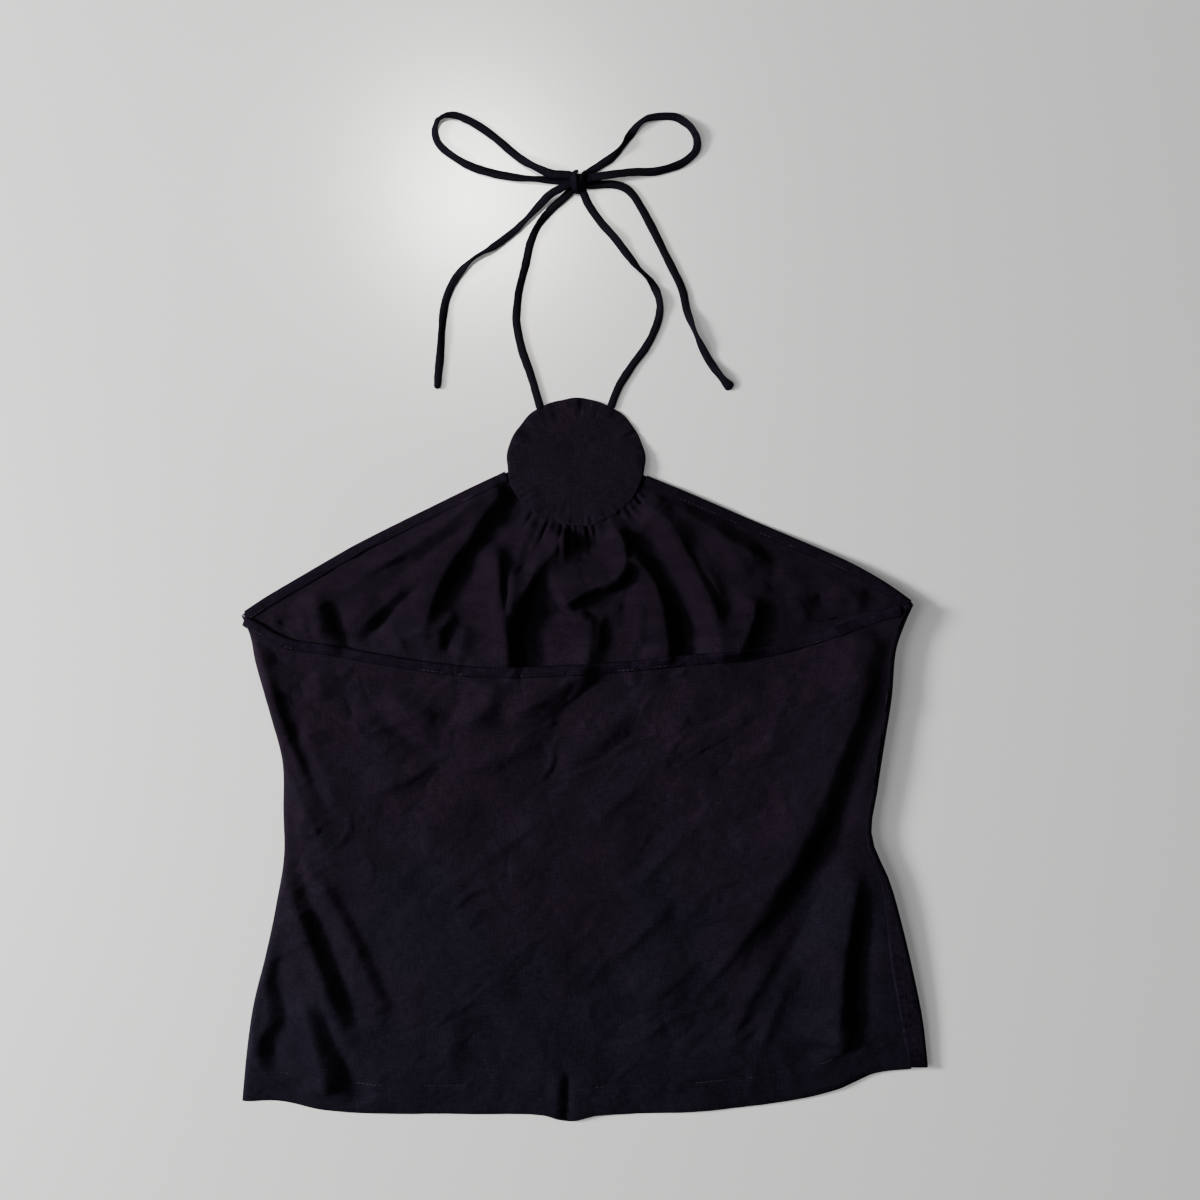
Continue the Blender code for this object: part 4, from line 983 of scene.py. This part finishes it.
def makeTie(name, tie):
    path, angle = tiePath(tie["routes"], tie["twists"])
    steps = len(path) - 1
    run = unit(np.gradient(path, axis=0))
    side = unit(np.stack([-run[:, 1], run[:, 0], run[:, 0] * 0.0], axis=1))
    up = np.cross(run, side)
    bend = np.abs(np.gradient(np.unwrap(np.arctan2(run[:, 1], run[:, 0])))) / tieSetup["step"]
    capSteps = 3

    def place(across, turnShare):
        index = np.rint(across * steps).astype(int)
        turn = turnShare * 2.0 * math.pi
        ends = np.minimum(index, steps - index) / capSteps
        closing = np.sqrt(np.clip(1.0 - (1.0 - np.minimum(ends, 1.0)) ** 2, 0.0, 1.0))
        walk = index * tieSetup["step"]
        flare = between(1.0, tie["end"], smoothStep(steps - 10, steps - 2, index))
        body = 1.0 + 0.05 * softNoise(walk, turn * 0.0, 9.0, tie["seed"])
        body = body + 0.05 * softNoise(walk, np.cos(turn) * 2.0, 3.1, tie["seed"] + 1)
        folds = tieSetup["wrinkle"] * np.minimum(bend[index] * 14.0, 1.0)
        folds = folds * softNoise(walk, np.sin(turn) * 1.2, 1.5, tie["seed"] + 2)
        wide = tieSetup["width"] / 2.0 * body * flare * np.cos(turn)
        thick = tieSetup["thick"] / 2.0 * body * np.sin(turn)
        thick = np.sign(thick) * np.abs(thick) ** 0.9 * (1.0 + folds)
        thick = thick - 0.45 * np.exp(-((np.cos(turn) - 0.70) / 0.14) ** 2) * (np.sin(turn) > 0.0)
        c, s = np.cos(angle[index]), np.sin(angle[index])
        out = (wide * c - thick * s) * closing
        rise = (wide * s + thick * c) * closing
        spot = path[index] + side[index] * out[:, None] + up[index] * rise[:, None]
        return spot[:, 0], spot[:, 1], np.maximum(spot[:, 2], 0.03)

    cut = (steps * tieSetup["step"], 14.0)
    piece = newPiece(name, gridShape(steps, tieSetup["around"]),
                     [blackCloth(name.replace("_", " "), "rouleau", cut, 0.12)])
    movePoints(piece, place)
    joined = bmesh.new()
    joined.from_mesh(piece.data)
    bmesh.ops.remove_doubles(joined, verts=joined.verts, dist=0.004 * mm)
    bmesh.ops.recalc_face_normals(joined, faces=joined.faces)
    joined.to_mesh(piece.data)
    joined.free()
    piece.data.shade_smooth()
    return fitPiece(piece, "rouleau", *tie["nodes"]), path


knotSetup = {"middle": (-3.2, 345.2, 3.9), "core": (8.6, 8.8, 6.4), "wrapWidth": 5.0, "wrapThick": 1.9}
knotWraps = (  # start, top and end of each turn of the tie round the knot
    ((-5.6, 351.2, 1.2), (-6.3, 349.8, 5.2), (-6.4, 345.4, 8.0), (-5.8, 340.6, 5.4), (-4.8, 339.2, 1.2)),
    ((2.6, 350.4, 1.4), (1.4, 349.4, 4.8), (-0.6, 345.8, 7.0), (-1.4, 341.2, 4.6), (-1.2, 339.8, 1.3)),
)


def makeKnot(setup, wraps):
    shape = bmesh.new()
    shape.loops.layers.uv.new("cloth")
    half = Matrix.Diagonal((*[size / 2.0 for size in setup["core"]], 1.0))
    core = Matrix.Translation(Vector(setup["middle"])) @ half
    bmesh.ops.create_uvsphere(shape, u_segments=28, v_segments=18, radius=1.0,
                              matrix=Matrix.Scale(mm, 4) @ core, calc_uvs=True)
    for number, wrap in enumerate(wraps):
        path = evenPath(wrap, 0.4)
        run = unit(np.gradient(path, axis=0))
        out = path - np.array(setup["middle"])
        out = unit(out - (out * run).sum(axis=1)[:, None] * run)
        side = np.cross(run, out)
        made = bmesh.ops.create_grid(shape, x_segments=len(path) - 1, y_segments=16, size=0.5,
                                     calc_uvs=True)
        for vertex in made["verts"]:
            index = int(round((vertex.co.x + 0.5) * (len(path) - 1)))
            turn = (vertex.co.y + 0.5) * 2.0 * math.pi
            crease = 1.0 + 0.06 * math.sin(2.6 * index + 3.0 * number) * math.cos(turn)
            wide = setup["wrapWidth"] / 2.0 * math.cos(turn) * crease
            thick = setup["wrapThick"] / 2.0 * math.sin(turn) * crease
            vertex.co = Vector(path[index] + side[index] * wide + out[index] * thick) * mm
    bmesh.ops.remove_doubles(shape, verts=shape.verts, dist=0.004 * mm)
    holes = [edge for edge in shape.edges if edge.is_boundary]
    bmesh.ops.holes_fill(shape, edges=holes, sides=0)
    bmesh.ops.recalc_face_normals(shape, faces=shape.faces)
    piece = newPiece("bow_knot", shape, [blackCloth("bow knot", "rouleau", (30.0, 14.0), 0.12)])
    piece.data.shade_smooth()
    return fitPiece(piece, "rouleau", "tie_knot")


bowKnot = makeKnot(knotSetup, knotWraps)
for tieName, tie in ties.items():
    tiePiece, tieCentre = makeTie(tieName, tie)

# the floor's own glow is painted light: it lifts the shade and the shadows on the table without a lamp
floorSetup = {"width": 6.0, "colour": (0.70, 0.695, 0.69), "rough": 0.28, "paintedFillGlow": 0.235}


def makeFloor(setup):
    shape = bmesh.new()
    bmesh.ops.create_grid(shape, x_segments=2, y_segments=2, size=setup["width"] / 2.0)
    material = bpy.data.materials.new("pale table")
    material.use_nodes = True
    tree = material.node_tree
    shader = tree.nodes["Principled BSDF"]
    spot = addNode(tree, "ShaderNodeTexCoord")
    cloudy = addNode(tree, "ShaderNodeTexNoise", {"Vector": spot.outputs["Object"], "Scale": 2.2,
                                                  "Detail": 2.0})
    tone = addNode(tree, "ShaderNodeMix", {"Factor": cloudy.outputs["Fac"]}, data_type="RGBA")
    colourIn(tone, "A").default_value = (*setup["colour"], 1.0)
    colourIn(tone, "B").default_value = (*[v * 0.97 for v in setup["colour"]], 1.0)
    tree.links.new(colourOut(tone), shader.inputs["Base Color"])
    shader.inputs["Roughness"].default_value = setup["rough"]
    shader.inputs["Specular IOR Level"].default_value = 0.35
    # painted light: the floor glows by itself so its shadows come out lighter
    shader.inputs["Emission Color"].default_value = (*setup["colour"], 1.0)
    shader.inputs["Emission Strength"].default_value = setup["paintedFillGlow"]
    floor = newPiece("floor", shape, [material])


makeFloor(floorSetup)
print("floor made")
